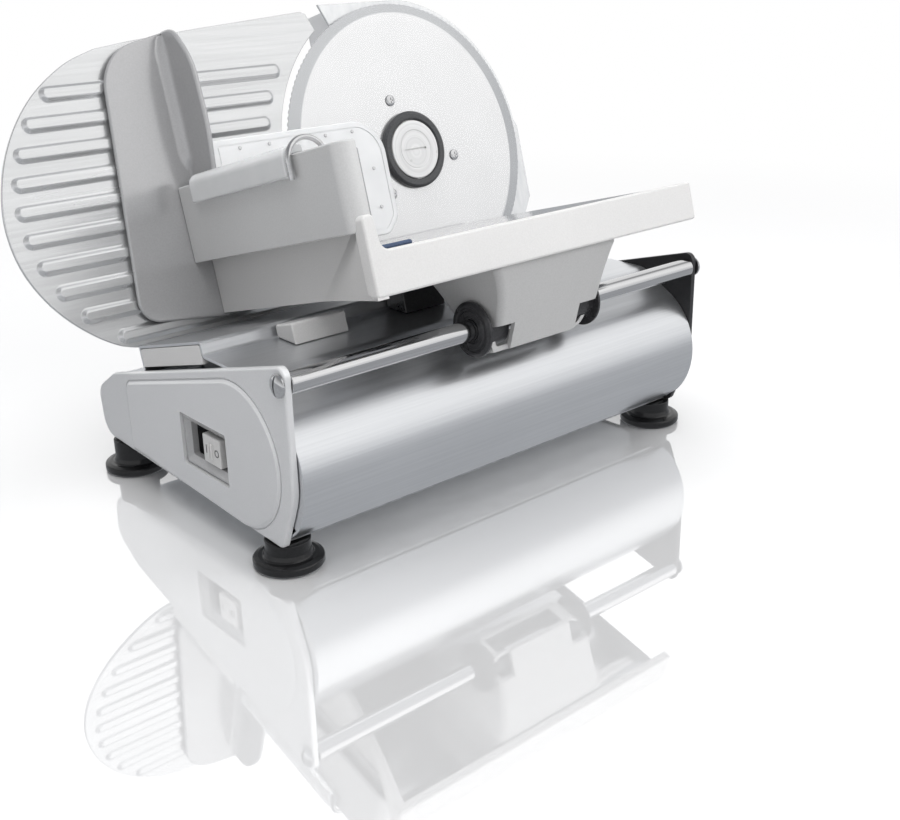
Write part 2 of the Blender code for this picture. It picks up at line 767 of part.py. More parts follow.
def build_skin(base):
    shape = new_shape()
    add_prism(shape, thickened(skin_path(), SKIN_WALL), "x", -SKIN_END, SKIN_END)
    skin = add_piece("base_skin", shape, "brushed steel", base)
    openings = new_shape()
    low, high = raked_hole(WORM_A, WORM_B, STRIP_C)
    add_loft(openings, [
        [(low[0] + u, low[1] + v, low[2] + w) for u, v, w in raked_ring("z", SHAFT_HOLE_RADIUS)],
        [(high[0] + u, high[1] + v, high[2] + w) for u, v, w in raked_ring("z", SHAFT_HOLE_RADIUS)],
    ])
    add_slot(openings)
    back = BASE_BACK_Y - SKIN_INSET
    add_cylinder(openings, GLAND_RADIUS + FIT_GAP, "y", back - GLAND_REACH, back + OVERRUN,
                 (GLAND_X, GLAND_Z))
    ring = raked_ring("y", KNOB_BUSH_RADIUS + FIT_GAP)
    ends = []
    for b in (KNOB_BUSH_FRONT_B, KNOB_FRONT_B):
        y, z = raked(b, SLIDE_AXIS_C)
        ends.append([(HUB_X + SLIDE_A + u, y + v, z + w) for u, v, w in ring])
    add_loft(openings, ends)
    cut(skin, openings)


def raked_ring(axis, radius):
    """A circle in world axes, square to the raked frame's Y or Z."""
    ring = []
    for u, v in circle(0.0, 0.0, radius):
        if axis == "y":
            ring.append((u, v * RAKE_SIN, v * RAKE_COS))
        else:
            ring.append((u, v * RAKE_COS, -v * RAKE_SIN))
    return ring


def raked_hole(a, b, c):
    """The two ends of a short hole along C through a sheet at c."""
    ends = []
    for reach in (-SKIN_WALL - OVERRUN, OVERRUN):
        y, z = raked(b, c + reach)
        ends.append((HUB_X + a, y, z))
    return ends


def add_slot(openings):
    """The slot in the strip that the fence's stem moves in."""
    front_b = FENCE_FRONT_B + FENCE_WALL
    back_b = front_b + FIT_GAP + SLIDE_STEM_WALL + FENCE_TRAVEL + RUN_GAP
    half = SLIDE_LENGTH / 2 + RUN_GAP
    rings = []
    for c in (STRIP_C - SKIN_WALL - OVERRUN, STRIP_C + OVERRUN):
        corners = ((-half, front_b - RUN_GAP), (half, front_b - RUN_GAP), (half, back_b), (-half, back_b))
        rings.append([(HUB_X + SLIDE_A + a, *raked(b, c)) for a, b in corners])
    add_loft(openings, rings)


def build_end_plates(base):
    inner = HALF_BASE - END_PLATE_WALL
    shape = new_shape()
    add_prism(shape, plate_outline(), "x", -HALF_BASE, -inner)
    left = add_piece("end_plate_left", shape, "painted silver", base)
    panel = new_shape()
    add_prism(panel, panel_outline(), "x", -HALF_BASE - PANEL_RAISE, -inner - OVERRUN)
    weld(left, panel)
    holes = new_shape()
    add_box(holes,
            (-HALF_BASE - OVERRUN, SWITCH_Y - SWITCH_LENGTH / 2 - FIT_GAP, SWITCH_Z - SWITCH_HEIGHT / 2 - FIT_GAP),
            (-inner + OVERRUN, SWITCH_Y + SWITCH_LENGTH / 2 + FIT_GAP, SWITCH_Z + SWITCH_HEIGHT / 2 + FIT_GAP))
    add_cylinder(holes, ROD_SCREW_RADIUS + FIT_GAP, "x", -HALF_BASE - OVERRUN, -inner + OVERRUN, (ROD_Y, ROD_Z))
    cut(left, holes)
    shape = new_shape()
    add_prism(shape, plate_outline(), "x", inner, HALF_BASE)
    right = add_piece("end_plate_right", shape, "black paint", base)
    holes = new_shape()
    add_cylinder(holes, ROD_SCREW_RADIUS + FIT_GAP, "x", inner - OVERRUN, HALF_BASE + OVERRUN, (ROD_Y, ROD_Z))
    cut(right, holes)


def build_bottom(base):
    front = PLATE_TOE_Y + BOTTOM_MARGIN
    back = PLATE_HEEL_Y - PLATE_HEEL_RADIUS
    low = BOTTOM_LIFT
    high = BOTTOM_LIFT + BOTTOM_WALL
    shape = new_shape()
    outline = [(front, floor_z(front) + low), (back, floor_z(back) + low),
               (back, floor_z(back) + high), (front, floor_z(front) + high)]
    add_prism(shape, outline, "x", -SKIN_END, SKIN_END)
    plate = add_piece("bottom_plate", shape, "zinc steel", base)
    holes = new_shape()
    for x, y in foot_places():
        add_cylinder(holes, FOOT_STUD_RADIUS + FIT_GAP, "z", floor_z(y) - OVERRUN,
                     floor_z(y) + high + OVERRUN, (x, y))
    cut(plate, holes)


def build_ridge_caps(base):
    """Two plugs that close the ridge's ends."""
    inset = SKIN_WALL + FIT_GAP
    front_b = RIDGE_FRONT_B + inset
    back_b = RIDGE_BACK_B - inset
    top_c = RIDGE_TOP_C - inset
    foot_c = RIDGE_TOP_C - RIDGE_CAP_FOOT
    outline = rounded([
        (*raked(front_b, top_c), RIDGE_RADIUS),
        (*raked(back_b, top_c), RIDGE_RADIUS),
        (*raked(back_b, foot_c), 0),
        (*raked(front_b, foot_c), 0),
    ])
    for side, name in ((-1, "ridge_cap_left"), (1, "ridge_cap_right")):
        ends = sorted((side * SKIN_END, side * (SKIN_END - RIDGE_CAP_WALL)))
        shape = new_shape()
        add_prism(shape, outline, "x", *ends)
        add_piece(name, shape, "pale plastic", base)


def foot_places():
    return [(side * FOOT_SPREAD_X, end * FOOT_SPREAD_Y) for end in (-1, 1) for side in (-1, 1)]


def foot_height(y):
    return floor_z(y - FOOT_NECK_RADIUS) - FIT_GAP


def build_feet(base):
    """Rubber feet, each with a moulded stud that snaps through the bottom plate."""
    names = ("foot_front_left", "foot_front_right", "foot_rear_left", "foot_rear_right")
    for name, (x, y) in zip(names, foot_places()):
        top = foot_height(y)
        stud_end = top + BOTTOM_LIFT + BOTTOM_WALL + FOOT_STUD_REACH
        profile = [
            (0.0, FOOT_RECESS_DEPTH), (FOOT_RECESS_RADIUS, FOOT_RECESS_DEPTH), (FOOT_RECESS_RADIUS, 0.0),
            (FOOT_RADIUS - FOOT_EDGE, 0.0), (FOOT_RADIUS, FOOT_EDGE), (FOOT_RADIUS, FOOT_DISC_HEIGHT - FOOT_EDGE),
            (FOOT_RADIUS - FOOT_EDGE, FOOT_DISC_HEIGHT), (FOOT_NECK_RADIUS, FOOT_DISC_HEIGHT),
            (FOOT_NECK_RADIUS, top), (FOOT_STUD_RADIUS, top), (FOOT_STUD_RADIUS, stud_end), (0.0, stud_end),
        ]
        shape = new_shape()
        add_turned(shape, profile, "z")
        add_piece(name, shape, "black rubber", base, (x, y, 0.0))


def build_rod(base):
    shape = new_shape()
    bore = ROD_SCREW_RADIUS + FIT_GAP
    depth = ROD_SCREW_REACH + FIT_GAP
    profile = [
        (0.0, SKIN_END - depth), (bore, SKIN_END - depth), (bore, SKIN_END), (ROD_RADIUS, SKIN_END),
        (ROD_RADIUS, -SKIN_END), (bore, -SKIN_END), (bore, depth - SKIN_END), (0.0, depth - SKIN_END),
    ]
    add_turned(shape, profile, "x")
    add_piece("guide_rod", shape, "bright steel", base, (0.0, ROD_Y, ROD_Z))
    build_rod_screws(base)


def build_rod_screws(base):
    seat = HALF_BASE + FIT_GAP
    end = SKIN_END - ROD_SCREW_REACH
    dome = [(ROD_SCREW_HEAD_RADIUS * math.cos(math.radians(angle)),
             seat + OVERRUN / 4 + (ROD_SCREW_DOME - OVERRUN / 4) * math.sin(math.radians(angle)))
            for angle in (0, 30, 60)]
    profile = [(0.0, end), (ROD_SCREW_RADIUS, end), (ROD_SCREW_RADIUS, seat), (ROD_SCREW_HEAD_RADIUS, seat)]
    profile += dome + [(0.0, seat + ROD_SCREW_DOME)]
    for side, name in ((-1, "rod_screw_left"), (1, "rod_screw_right")):
        shape = new_shape()
        add_turned(shape, [(radius, side * along) for radius, along in profile], "x")
        screw = add_piece(name, shape, "bright steel", base, (0.0, ROD_Y, ROD_Z))
        slot = new_shape()
        ends = sorted((side * (seat + ROD_SCREW_DOME / 2), side * (seat + ROD_SCREW_DOME + OVERRUN)))
        add_box(slot, (ends[0], -ROD_SCREW_SLOT / 2, -ROD_SCREW_HEAD_RADIUS - OVERRUN),
                (ends[1], ROD_SCREW_SLOT / 2, ROD_SCREW_HEAD_RADIUS + OVERRUN))
        cut(screw, slot)


def switch_box(shape, margin_y, margin_z, low_x, high_x, length=SWITCH_LENGTH, height=SWITCH_HEIGHT):
    """A box about the switch's centre, larger than the given length and height by the margins."""
    half_y = length / 2 + margin_y
    half_z = height / 2 + margin_z
    add_box(shape, (low_x, SWITCH_Y - half_y, SWITCH_Z - half_z), (high_x, SWITCH_Y + half_y, SWITCH_Z + half_z))


def build_switch(base):
    front = -HALF_BASE + SWITCH_RECESS
    seat = -SKIN_END
    body_front = seat + SWITCH_FLANGE_WALL + FIT_GAP
    pocket_end = body_front + SWITCH_POCKET
    frame_shape = new_shape()
    switch_box(frame_shape, 0.0, 0.0, front, seat + OVERRUN / 2)
    frame = add_piece("switch_frame", frame_shape, "pale plastic", base)
    flange = new_shape()
    switch_box(flange, SWITCH_FLANGE, SWITCH_FLANGE, seat, seat + SWITCH_FLANGE_WALL)
    weld(frame, flange)
    window = new_shape()
    size = {"length": SWITCH_WINDOW_LENGTH, "height": SWITCH_WINDOW_HEIGHT}
    switch_box(window, 0.0, 0.0, front - OVERRUN, seat + SWITCH_FLANGE_WALL + OVERRUN, **size)
    cut(frame, window)
    body_shape = new_shape()
    switch_box(body_shape, SWITCH_BODY_MARGIN, SWITCH_BODY_MARGIN, body_front, body_front + SWITCH_BODY_DEPTH,
               **size)
    body = add_piece("switch_body", body_shape, "dark plastic", base)
    pocket = new_shape()
    switch_box(pocket, 0.0, 0.0, body_front - OVERRUN, pocket_end, **size)
    cut(body, pocket)
    slider_front = pocket_end - SWITCH_POCKET - SLIDER_PROUD
    low_y = SWITCH_Y - SWITCH_WINDOW_LENGTH / 2 + SLIDER_TRAVEL / 2
    half_z = SLIDER_HEIGHT / 2
    middle = low_y + SLIDER_LENGTH / 2
    slider_shape = new_shape()
    add_box(slider_shape, (slider_front, low_y, SWITCH_Z - half_z),
            (pocket_end - FIT_GAP, low_y + SLIDER_LENGTH, SWITCH_Z + half_z))
    slider = add_piece("switch_slider", slider_shape, "pale plastic", base)
    nub = new_shape()
    add_box(nub, (slider_front - SLIDER_NUB, middle - SLIDER_NUB_LENGTH / 2, SWITCH_Z - half_z / 2),
            (slider_front + OVERRUN, middle + SLIDER_NUB_LENGTH / 2, SWITCH_Z + half_z / 2))
    weld(slider, nub)


def build_electrics(base):
    back = BASE_BACK_Y - SKIN_INSET
    seat = back + FIT_GAP
    profile = [
        (GLAND_BORE_RADIUS, seat - GLAND_REACH), (GLAND_RADIUS, seat - GLAND_REACH), (GLAND_RADIUS, seat),
        (GLAND_FLANGE_RADIUS, seat), (GLAND_FLANGE_RADIUS, seat + GLAND_FLANGE),
        (GLAND_BORE_RADIUS + OVERRUN / 2, seat + GLAND_FLANGE + OVERRUN / 2),
        (GLAND_BORE_RADIUS, seat + GLAND_FLANGE + OVERRUN / 2),
    ]
    shape = new_shape()
    add_turned(shape, profile, "y", (GLAND_X, GLAND_Z))
    add_piece("cord_gland", shape, "black rubber", base)
    shape = new_shape()
    low = floor_z(TERMINAL_Y + TERMINAL_WIDTH) + BOTTOM_LIFT + BOTTOM_WALL + FIT_GAP
    add_box(shape, (TERMINAL_X - TERMINAL_LENGTH / 2, TERMINAL_Y, low),
            (TERMINAL_X + TERMINAL_LENGTH / 2, TERMINAL_Y + TERMINAL_WIDTH, low + TERMINAL_HEIGHT))
    add_piece("terminal_block", shape, "gear nylon", base)


# Blade, gear and lock

def screw_places():
    places = []
    for degrees in BLADE_SCREW_DEGREES:
        angle = math.radians(degrees)
        places.append((BLADE_SCREW_CIRCLE * math.cos(angle), BLADE_SCREW_CIRCLE * math.sin(angle)))
    return places


def build_blade(raked_frame):
    front = -BLADE_BACK_B
    hollow = BUSH_RADIUS + RUN_GAP
    shape = new_shape()
    profile = [
        (hollow, front), (BLADE_RADIUS - BLADE_BEVEL, front), (BLADE_RADIUS, BLADE_BACK_B - BLADE_EDGE),
        (BLADE_RADIUS, BLADE_BACK_B), (hollow, BLADE_BACK_B),
    ]
    add_turned(shape, profile, "y", steps=BIG_STEPS)
    blade = add_piece("blade", shape, "bright steel", raked_frame)
    holes = new_shape()
    for place in screw_places():
        add_cylinder(holes, BLADE_SCREW_RADIUS + FIT_GAP, "y", front - OVERRUN, BLADE_BACK_B + OVERRUN, place)
    cut(blade, holes)
    shape = new_shape()
    low = HUB_FRONT_B - HUB_RING_HEIGHT
    profile = [
        (HUB_RING_INNER, HUB_FRONT_B), (HUB_RING_RADIUS, HUB_FRONT_B),
        (HUB_RING_RADIUS - OVERRUN / 2, low), (HUB_RING_INNER, low),
    ]
    add_turned(shape, profile, "y", steps=BIG_STEPS // 2)
    add_piece("hub_ring", shape, "dark plastic", raked_frame)
    build_blade_screws(raked_frame)
    build_lock(raked_frame)


def build_blade_screws(raked_frame):
    seat = -BLADE_BACK_B - FIT_GAP
    tip = FLANGE_FRONT_B + FLANGE_THICKNESS - FIT_GAP
    profile = [(0.0, seat - BLADE_SCREW_HEAD), (BLADE_SCREW_HEAD_RADIUS - FIT_GAP, seat - BLADE_SCREW_HEAD),
               (BLADE_SCREW_HEAD_RADIUS, seat), (BLADE_SCREW_RADIUS, seat), (BLADE_SCREW_RADIUS, tip), (0.0, tip)]
    for number, place in enumerate(screw_places(), 1):
        shape = new_shape()
        add_turned(shape, profile, "y", place, SMALL_STEPS // 2)
        screw = add_piece(f"blade_screw_{number}", shape, "bright steel", raked_frame)
        cross = new_shape()
        add_prism(cross, cross_outline(place), "y", seat - BLADE_SCREW_HEAD - OVERRUN, seat - FIT_GAP)
        cut(screw, cross)


def cross_outline(place):
    """A plus sign, for the recess in a screw's head."""
    half = BLADE_SCREW_HEAD_RADIUS / 2
    arm = half / 5
    corner = ((half, -arm), (half, arm), (arm, arm))
    points = []
    for turn in range(4):
        cos, sin = ((1, 0), (0, 1), (-1, 0), (0, -1))[turn]
        points += [(place[0] + u * cos - v * sin, place[1] + u * sin + v * cos) for u, v in corner]
    return points


def build_lock(raked_frame):
    low = HUB_FRONT_B - LOCK_DISC_HEIGHT
    radius = HUB_RING_INNER - RUN_GAP
    shape = new_shape()
    profile = [(0.0, low), (radius - OVERRUN / 4, low), (radius, low + OVERRUN / 4), (radius, HUB_FRONT_B),
               (BUSH_RADIUS, HUB_FRONT_B), (BUSH_RADIUS, LOCK_STEM_END_B), (0.0, LOCK_STEM_END_B)]
    add_turned(shape, profile, "y", steps=BIG_STEPS // 2)
    disc = add_piece("lock_disc", shape, "pale plastic", raked_frame)
    slot = new_shape()
    outline = rounded_box(-LOCK_SLOT_LENGTH / 2, LOCK_SLOT_LENGTH / 2, -LOCK_SLOT_WIDTH / 2, LOCK_SLOT_WIDTH / 2,
                          LOCK_SLOT_WIDTH * LOCK_SLOT_ROUND_SHARE)
    add_prism(slot, outline, "y", low - OVERRUN, low + LOCK_SLOT_DEPTH)
    cut(disc, slot)


def gear_outline():
    """Blunt teeth: four points a tooth, two at the tip and two at the root."""
    points = []
    root = GEAR_RADIUS - GEAR_TOOTH
    for index in range(GEAR_TEETH * 4):
        angle = math.tau * index / (GEAR_TEETH * 4)
        radius = GEAR_RADIUS if index % 4 < 2 else root
        points.append((radius * math.cos(angle), radius * math.sin(angle)))
    return points


def build_gear(raked_frame):
    flange_back = FLANGE_FRONT_B + FLANGE_THICKNESS
    shape = new_shape()
    bore = BUSH_RADIUS + FIT_GAP
    profile = [
        (bore, FLANGE_FRONT_B), (FLANGE_RADIUS, FLANGE_FRONT_B), (FLANGE_RADIUS, flange_back),
        (GEAR_HUB_RADIUS, flange_back), (GEAR_HUB_RADIUS, GEAR_HUB_END_B), (bore, GEAR_HUB_END_B),
    ]
    add_turned(shape, profile, "y", steps=BIG_STEPS // 2)
    gear = add_piece("blade_gear", shape, "gear nylon", raked_frame)
    teeth = new_shape()
    add_prism(teeth, gear_outline(), "y", GEAR_FRONT_B, GEAR_FRONT_B + GEAR_WIDTH)
    weld(gear, teeth)
    holes = new_shape()
    add_cylinder(holes, bore, "y", FLANGE_FRONT_B - OVERRUN, GEAR_HUB_END_B + OVERRUN, steps=BIG_STEPS // 2)
    for place in screw_places():
        add_cylinder(holes, BLADE_SCREW_RADIUS + FIT_GAP, "y", FLANGE_FRONT_B - OVERRUN, flange_back + OVERRUN,
                     place)
    cut(gear, holes)
    shape = new_shape()
    add_ring(shape, BUSH_BORE_RADIUS, BUSH_RADIUS, "y", BUSH_FRONT_B, GEAR_HUB_END_B)
    add_piece("blade_bush", shape, "bronze", raked_frame)
    shape = new_shape()
    add_cylinder(shape, BUSH_BORE_RADIUS - FIT_GAP, "y", AXLE_FRONT_B, HOUSING_BACK_B - FIT_GAP)
    add_piece("blade_axle", shape, "bright steel", raked_frame)


# Guard and gear housing

def guard_outline(inset):
    """The guard's outline, or the housing's, which is the same moved in by an inset."""
    right = GUARD_RIGHT_A - inset
    radius = GUARD_ROUND_RADIUS - inset
    low = STRIP_C + FIT_GAP
    left = GUARD_LEFT_A + inset
    top = GUARD_TOP_C - inset
    start = math.degrees(math.asin(top / radius)) if top < radius else 90.0
    end = math.degrees(math.acos(radius / right)) / 2
    points = [(left, low), (left, GUARD_HORN_C - inset)]
    if inset == 0:
        points.append((GUARD_HORN_A, GUARD_TOP_C))
    else:
        points.append((left, top))
    points += arc(0.0, 0.0, radius, start, end)
    points += [(right, GUARD_RIGHT_C), (right, GUARD_HIP_C), (SKIN_END - HUB_X - inset - FIT_GAP, low)]
    return points


def lowered(outline, drop):
    """The same outline with its two feet carried straight down."""
    left, right = outline[0], outline[-1]
    return [(left[0], left[1] - drop)] + outline + [(right[0], right[1] - drop)]


def guard_screw_places():
    return [(u * BLADE_RADIUS, v * BLADE_RADIUS) for u, v in GUARD_SCREW_PLACE_SHARES]


def add_base_block(shape):
    """The space below the base's outer line, grown by a gap, that the tower has to stay out of."""
    reach = HOUSING_BACK_B + OVERRUN
    slope_y, slope_z = raked(STRIP_BACK_B, STRIP_C)
    back_y = BASE_BACK_Y - SKIN_INSET
    back_z = PLATE_BACK_Z - SKIN_INSET
    drop = (slope_z - back_z) / (back_y - slope_y)
    slope = math.tan(math.atan(drop) - RAKE)
    top = STRIP_C + FIT_GAP
    outline = [(-reach, top), (STRIP_BACK_B, top), (reach, top - (reach - STRIP_BACK_B) * slope),
               (reach, top - HOUSING_BACK_B), (-reach, top - HOUSING_BACK_B)]
    add_prism(shape, outline, "x", GUARD_LEFT_A - OVERRUN, GUARD_RIGHT_A + OVERRUN)


def build_guard(raked_frame):
    shape = new_shape()
    add_prism(shape, guard_outline(0.0), "y", GUARD_FRONT_B, GUARD_BACK_B)
    guard = add_piece("guard_plate", shape, "bright steel", raked_frame)
    holes = new_shape()
    add_cylinder(holes, GUARD_HOLE_RADIUS, "y", GUARD_FRONT_B - OVERRUN, GUARD_BACK_B + OVERRUN,
                 steps=BIG_STEPS // 2)
    for place in guard_screw_places():
        add_cylinder(holes, GUARD_SCREW_RADIUS + FIT_GAP, "y", GUARD_FRONT_B - OVERRUN, GUARD_BACK_B + OVERRUN,
                     place, SMALL_STEPS // 2)
    cut(guard, holes)
    build_housing(raked_frame)
    seat = GUARD_FRONT_B - FIT_GAP
    end = HOUSING_FRONT_B + GUARD_SCREW_REACH
    profile = [(0.0, seat - GUARD_SCREW_HEAD), (GUARD_SCREW_HEAD_RADIUS, seat - GUARD_SCREW_HEAD),
               (GUARD_SCREW_HEAD_RADIUS, seat), (GUARD_SCREW_RADIUS, seat), (GUARD_SCREW_RADIUS, end), (0.0, end)]
    for name, place in zip(("guard_screw_upper", "guard_screw_lower"), guard_screw_places()):
        shape = new_shape()
        add_turned(shape, profile, "y", place, SMALL_STEPS // 2)
        add_piece(name, shape, "zinc steel", raked_frame)


def build_housing(raked_frame):
    """The tower: a shell that is open to the front and below, with bosses for the screws and the axle."""
    inner_back = HOUSING_BACK_B - HOUSING_WALL
    shape = new_shape()
    add_prism(shape, lowered(guard_outline(HOUSING_INSET), HOUSING_BACK_B), "y", HOUSING_FRONT_B, HOUSING_BACK_B)
    housing = add_piece("rear_housing", shape, "painted silver", raked_frame)
    hollow = new_shape()
    inner = guard_outline(HOUSING_INSET + HOUSING_WALL)
    add_prism(hollow, lowered(inner, HOUSING_BACK_B + OVERRUN), "y", HOUSING_FRONT_B - OVERRUN, inner_back)
    cut(housing, hollow)
    bosses = new_shape()
    add_cylinder(bosses, HOUSING_BOSS_RADIUS, "y", GEAR_HUB_END_B + RUN_GAP, inner_back + HOUSING_WALL / 2)
    for place in guard_screw_places():
        add_cylinder(bosses, GUARD_BOSS_RADIUS, "y", HOUSING_FRONT_B, inner_back + HOUSING_WALL / 2, place,
                     SMALL_STEPS // 2)
    weld(housing, bosses)
    holes = new_shape()
    add_base_block(holes)
    cut(housing, holes)
    bores = new_shape()
    add_cylinder(bores, BUSH_BORE_RADIUS, "y", GEAR_HUB_END_B, HOUSING_BACK_B + OVERRUN)
    for place in guard_screw_places():
        add_cylinder(bores, GUARD_SCREW_RADIUS + FIT_GAP, "y", HOUSING_FRONT_B - OVERRUN,
                     HOUSING_FRONT_B + GUARD_SCREW_REACH + FIT_GAP, place, SMALL_STEPS // 2)
    cut(housing, bores)


# Motor and worm

def worm_rings():
    """The worm: a round section set off its axis, which turns as it climbs and so draws a thread."""
    offset = WORM_RADIUS - WORM_CORE_RADIUS
    steps = SMALL_STEPS // 3
    count = WORM_TURNS * steps
    rings = []
    for index in range(count + 1):
        along = -WORM_LENGTH / 2 + WORM_LENGTH * index / count
        turn = math.tau * index / steps
        centre = (offset * math.cos(turn), offset * math.sin(turn))
        rings.append([(u, v, along) for u, v in circle(centre[0], centre[1], WORM_CORE_RADIUS, SMALL_STEPS // 2)])
    return rings


def build_motor(raked_frame):
    axis = (WORM_A, WORM_B, 0.0)
    centre = (WORM_A, WORM_B)
    shape = new_shape()
    add_loft(shape, worm_rings())
    shaft = add_piece("worm_shaft", shape, "bright steel", raked_frame, axis)
    ends = new_shape()
    add_cylinder(ends, SHAFT_RADIUS, "z", SHAFT_BOTTOM_C, SHAFT_TOP_C)
    weld(shaft, ends)
    stator_top = MOTOR_TOP_C - MOTOR_WALL - OVERRUN
    shape = new_shape()
    add_ring(shape, SHAFT_RADIUS + FIT_GAP, ROTOR_RADIUS, "z", stator_top - ROTOR_LENGTH, stator_top)
    add_piece("motor_rotor", shape, "copper", raked_frame, axis)
    shape = new_shape()
    inner = MOTOR_RADIUS - MOTOR_WALL
    add_ring(shape, STATOR_INNER, inner - FIT_GAP, "z", stator_top - STATOR_LENGTH, stator_top, centre)
    add_piece("motor_stator", shape, "zinc steel", raked_frame)
    shape = new_shape()
    hole = SHAFT_RADIUS + RUN_GAP
    profile = [(hole, MOTOR_TOP_C - MOTOR_WALL), (inner, MOTOR_TOP_C - MOTOR_WALL), (inner, MOTOR_BOTTOM_C),
               (MOTOR_RADIUS, MOTOR_BOTTOM_C), (MOTOR_RADIUS, MOTOR_TOP_C), (hole, MOTOR_TOP_C)]
    add_turned(shape, profile, "z", centre)
    add_piece("motor_can", shape, "zinc steel", raked_frame)
    shape = new_shape()
    low = MOTOR_BOTTOM_C - MOTOR_CAP
    profile = [(MOTOR_CAP_BORE, low), (MOTOR_RADIUS, low), (MOTOR_RADIUS, MOTOR_BOTTOM_C - FIT_GAP),
               (hole, MOTOR_BOTTOM_C - FIT_GAP), (hole, MOTOR_BOTTOM_C - MOTOR_CAP / 2),
               (MOTOR_CAP_BORE, MOTOR_BOTTOM_C - MOTOR_CAP / 2)]
    add_turned(shape, profile, "z", centre)
    add_piece("motor_end_cap", shape, "dark plastic", raked_frame)
    build_motor_bracket(raked_frame)
    shape = new_shape()
    half = BEARING_LENGTH / 2
    add_box(shape, (WORM_A - half, BEARING_FRONT_B, BEARING_BOTTOM_C),
            (WORM_A + half, HOUSING_BACK_B - HOUSING_WALL - FIT_GAP, BEARING_BOTTOM_C + BEARING_HEIGHT))
    bearing = add_piece("worm_top_bearing", shape, "bronze", raked_frame)
    bore = new_shape()
    add_cylinder(bore, SHAFT_RADIUS + FIT_GAP, "z", BEARING_BOTTOM_C - OVERRUN,
                 BEARING_BOTTOM_C + BEARING_HEIGHT + OVERRUN, centre)
    cut(bearing, bore)


def build_motor_bracket(raked_frame):
    top = STRIP_C - SKIN_WALL - FIT_GAP
    half = MOTOR_BRACKET_LENGTH / 2
    shape = new_shape()
    add_box(shape, (WORM_A - half, MOTOR_BRACKET_FRONT_B, top - MOTOR_BRACKET_WALL),
            (WORM_A + half, MOTOR_BRACKET_BACK_B, top))
    bracket = add_piece("motor_bracket", shape, "zinc steel", raked_frame)
    ring = new_shape()
    add_cylinder(ring, MOTOR_BRACKET_RING, "z", MOTOR_TOP_C + FIT_GAP, top - MOTOR_BRACKET_WALL / 2,
                 (WORM_A, WORM_B))
    weld(bracket, ring)
    clear = new_shape()
    add_cylinder(clear, SHAFT_HOLE_RADIUS, "z", MOTOR_TOP_C - OVERRUN, top + OVERRUN, (WORM_A, WORM_B))
    cut(bracket, clear)


# Fence and its drive

def fence_outline():
    points = []
    for degrees, share in FENCE_ROUND_SHARES:
        angle = math.radians(degrees)
        radius = FENCE_ROUND_RADIUS * share
        points.append((FENCE_ROUND_A + radius * math.cos(angle), FENCE_ROUND_C + radius * math.sin(angle)))
    points = smooth(points)
    low = math.degrees(math.asin(FENCE_BOTTOM_C / FENCE_THROAT_RADIUS))
    high = math.degrees(math.asin(FENCE_THROAT_TOP_C / FENCE_THROAT_RADIUS))
    points += [(FENCE_ROUND_A, FENCE_BOTTOM_C)]
    points += arc(0.0, 0.0, FENCE_THROAT_RADIUS, 180.0 - low, 180.0 - high)
    points += [(FENCE_CORNER_A, FENCE_CORNER_C), (FENCE_TOP_A, FENCE_TOP_C), (FENCE_MIDDLE_A, FENCE_MIDDLE_C),
               (FENCE_SHOULDER_A, FENCE_SHOULDER_C)]
    return points


def smooth(points, steps=3):
    """A smooth curve through the points, with a few steps between each two."""
    result = []
    last = len(points) - 1
    for index in range(last):
        p0 = Vector(points[max(index - 1, 0)])
        p1 = Vector(points[index])
        p2 = Vector(points[index + 1])
        p3 = Vector(points[min(index + 2, last)])
        for step in range(steps):
            t = step / steps
            place = p1 * 2 + (p2 - p0) * t + (p0 * 2 - p1 * 5 + p2 * 4 - p3) * t * t
            place += (p1 * 3 - p0 - p2 * 3 + p3) * t * t * t
            result.append(tuple(place / 2))
    result.append(tuple(points[-1]))
    return result


def rib_ends(c):
    """Where a rib at c starts near the fence's round left edge, and where it ends before the throat."""
    drop = c - FENCE_ROUND_C
    left = FENCE_ROUND_A - math.sqrt(FENCE_ROUND_RADIUS ** 2 - drop ** 2) + RIB_END_MARGIN
    throat = FENCE_THROAT_RADIUS + RIB_END_MARGIN
    return left, -math.sqrt(throat ** 2 - c ** 2) - RIB_END_MARGIN / 4


def build_fence(raked_frame):
    back = FENCE_FRONT_B + FENCE_WALL
    shape = new_shape()
    add_prism(shape, fence_outline(), "y", FENCE_FRONT_B, back)
    fence = add_piece("fence_plate", shape, "brushed steel", raked_frame)
    ribs = new_shape()
    radius = RIB_WIDTH / 2
    for index in range(RIB_COUNT):
        c = RIB_TOP_C - index * RIB_PITCH
        left, right = rib_ends(c)
        outline = arc(right - radius, c, radius, 90.0, -90.0) + arc(left + radius, c, radius, 270.0, 90.0)
        add_prism(ribs, outline, "y", FENCE_FRONT_B - RIB_RAISE, FENCE_FRONT_B + FENCE_WALL / 2)
    weld(fence, ribs)
    holes = new_shape()
    add_cylinder(holes, FENCE_SCREW_RADIUS + FIT_GAP, "y", FENCE_FRONT_B + FENCE_WALL / 3, back + OVERRUN,
                 (SLIDE_A, FENCE_SCREW_C), SMALL_STEPS // 2)
    cut(fence, holes)
    build_fence_bracket(raked_frame, back + FIT_GAP)
    build_fence_rods(raked_frame)
    build_knob(raked_frame)


def fence_rod_places():
    return [SLIDE_A + side * FENCE_ROD_SPACING / 2 for side in (-1, 1)]


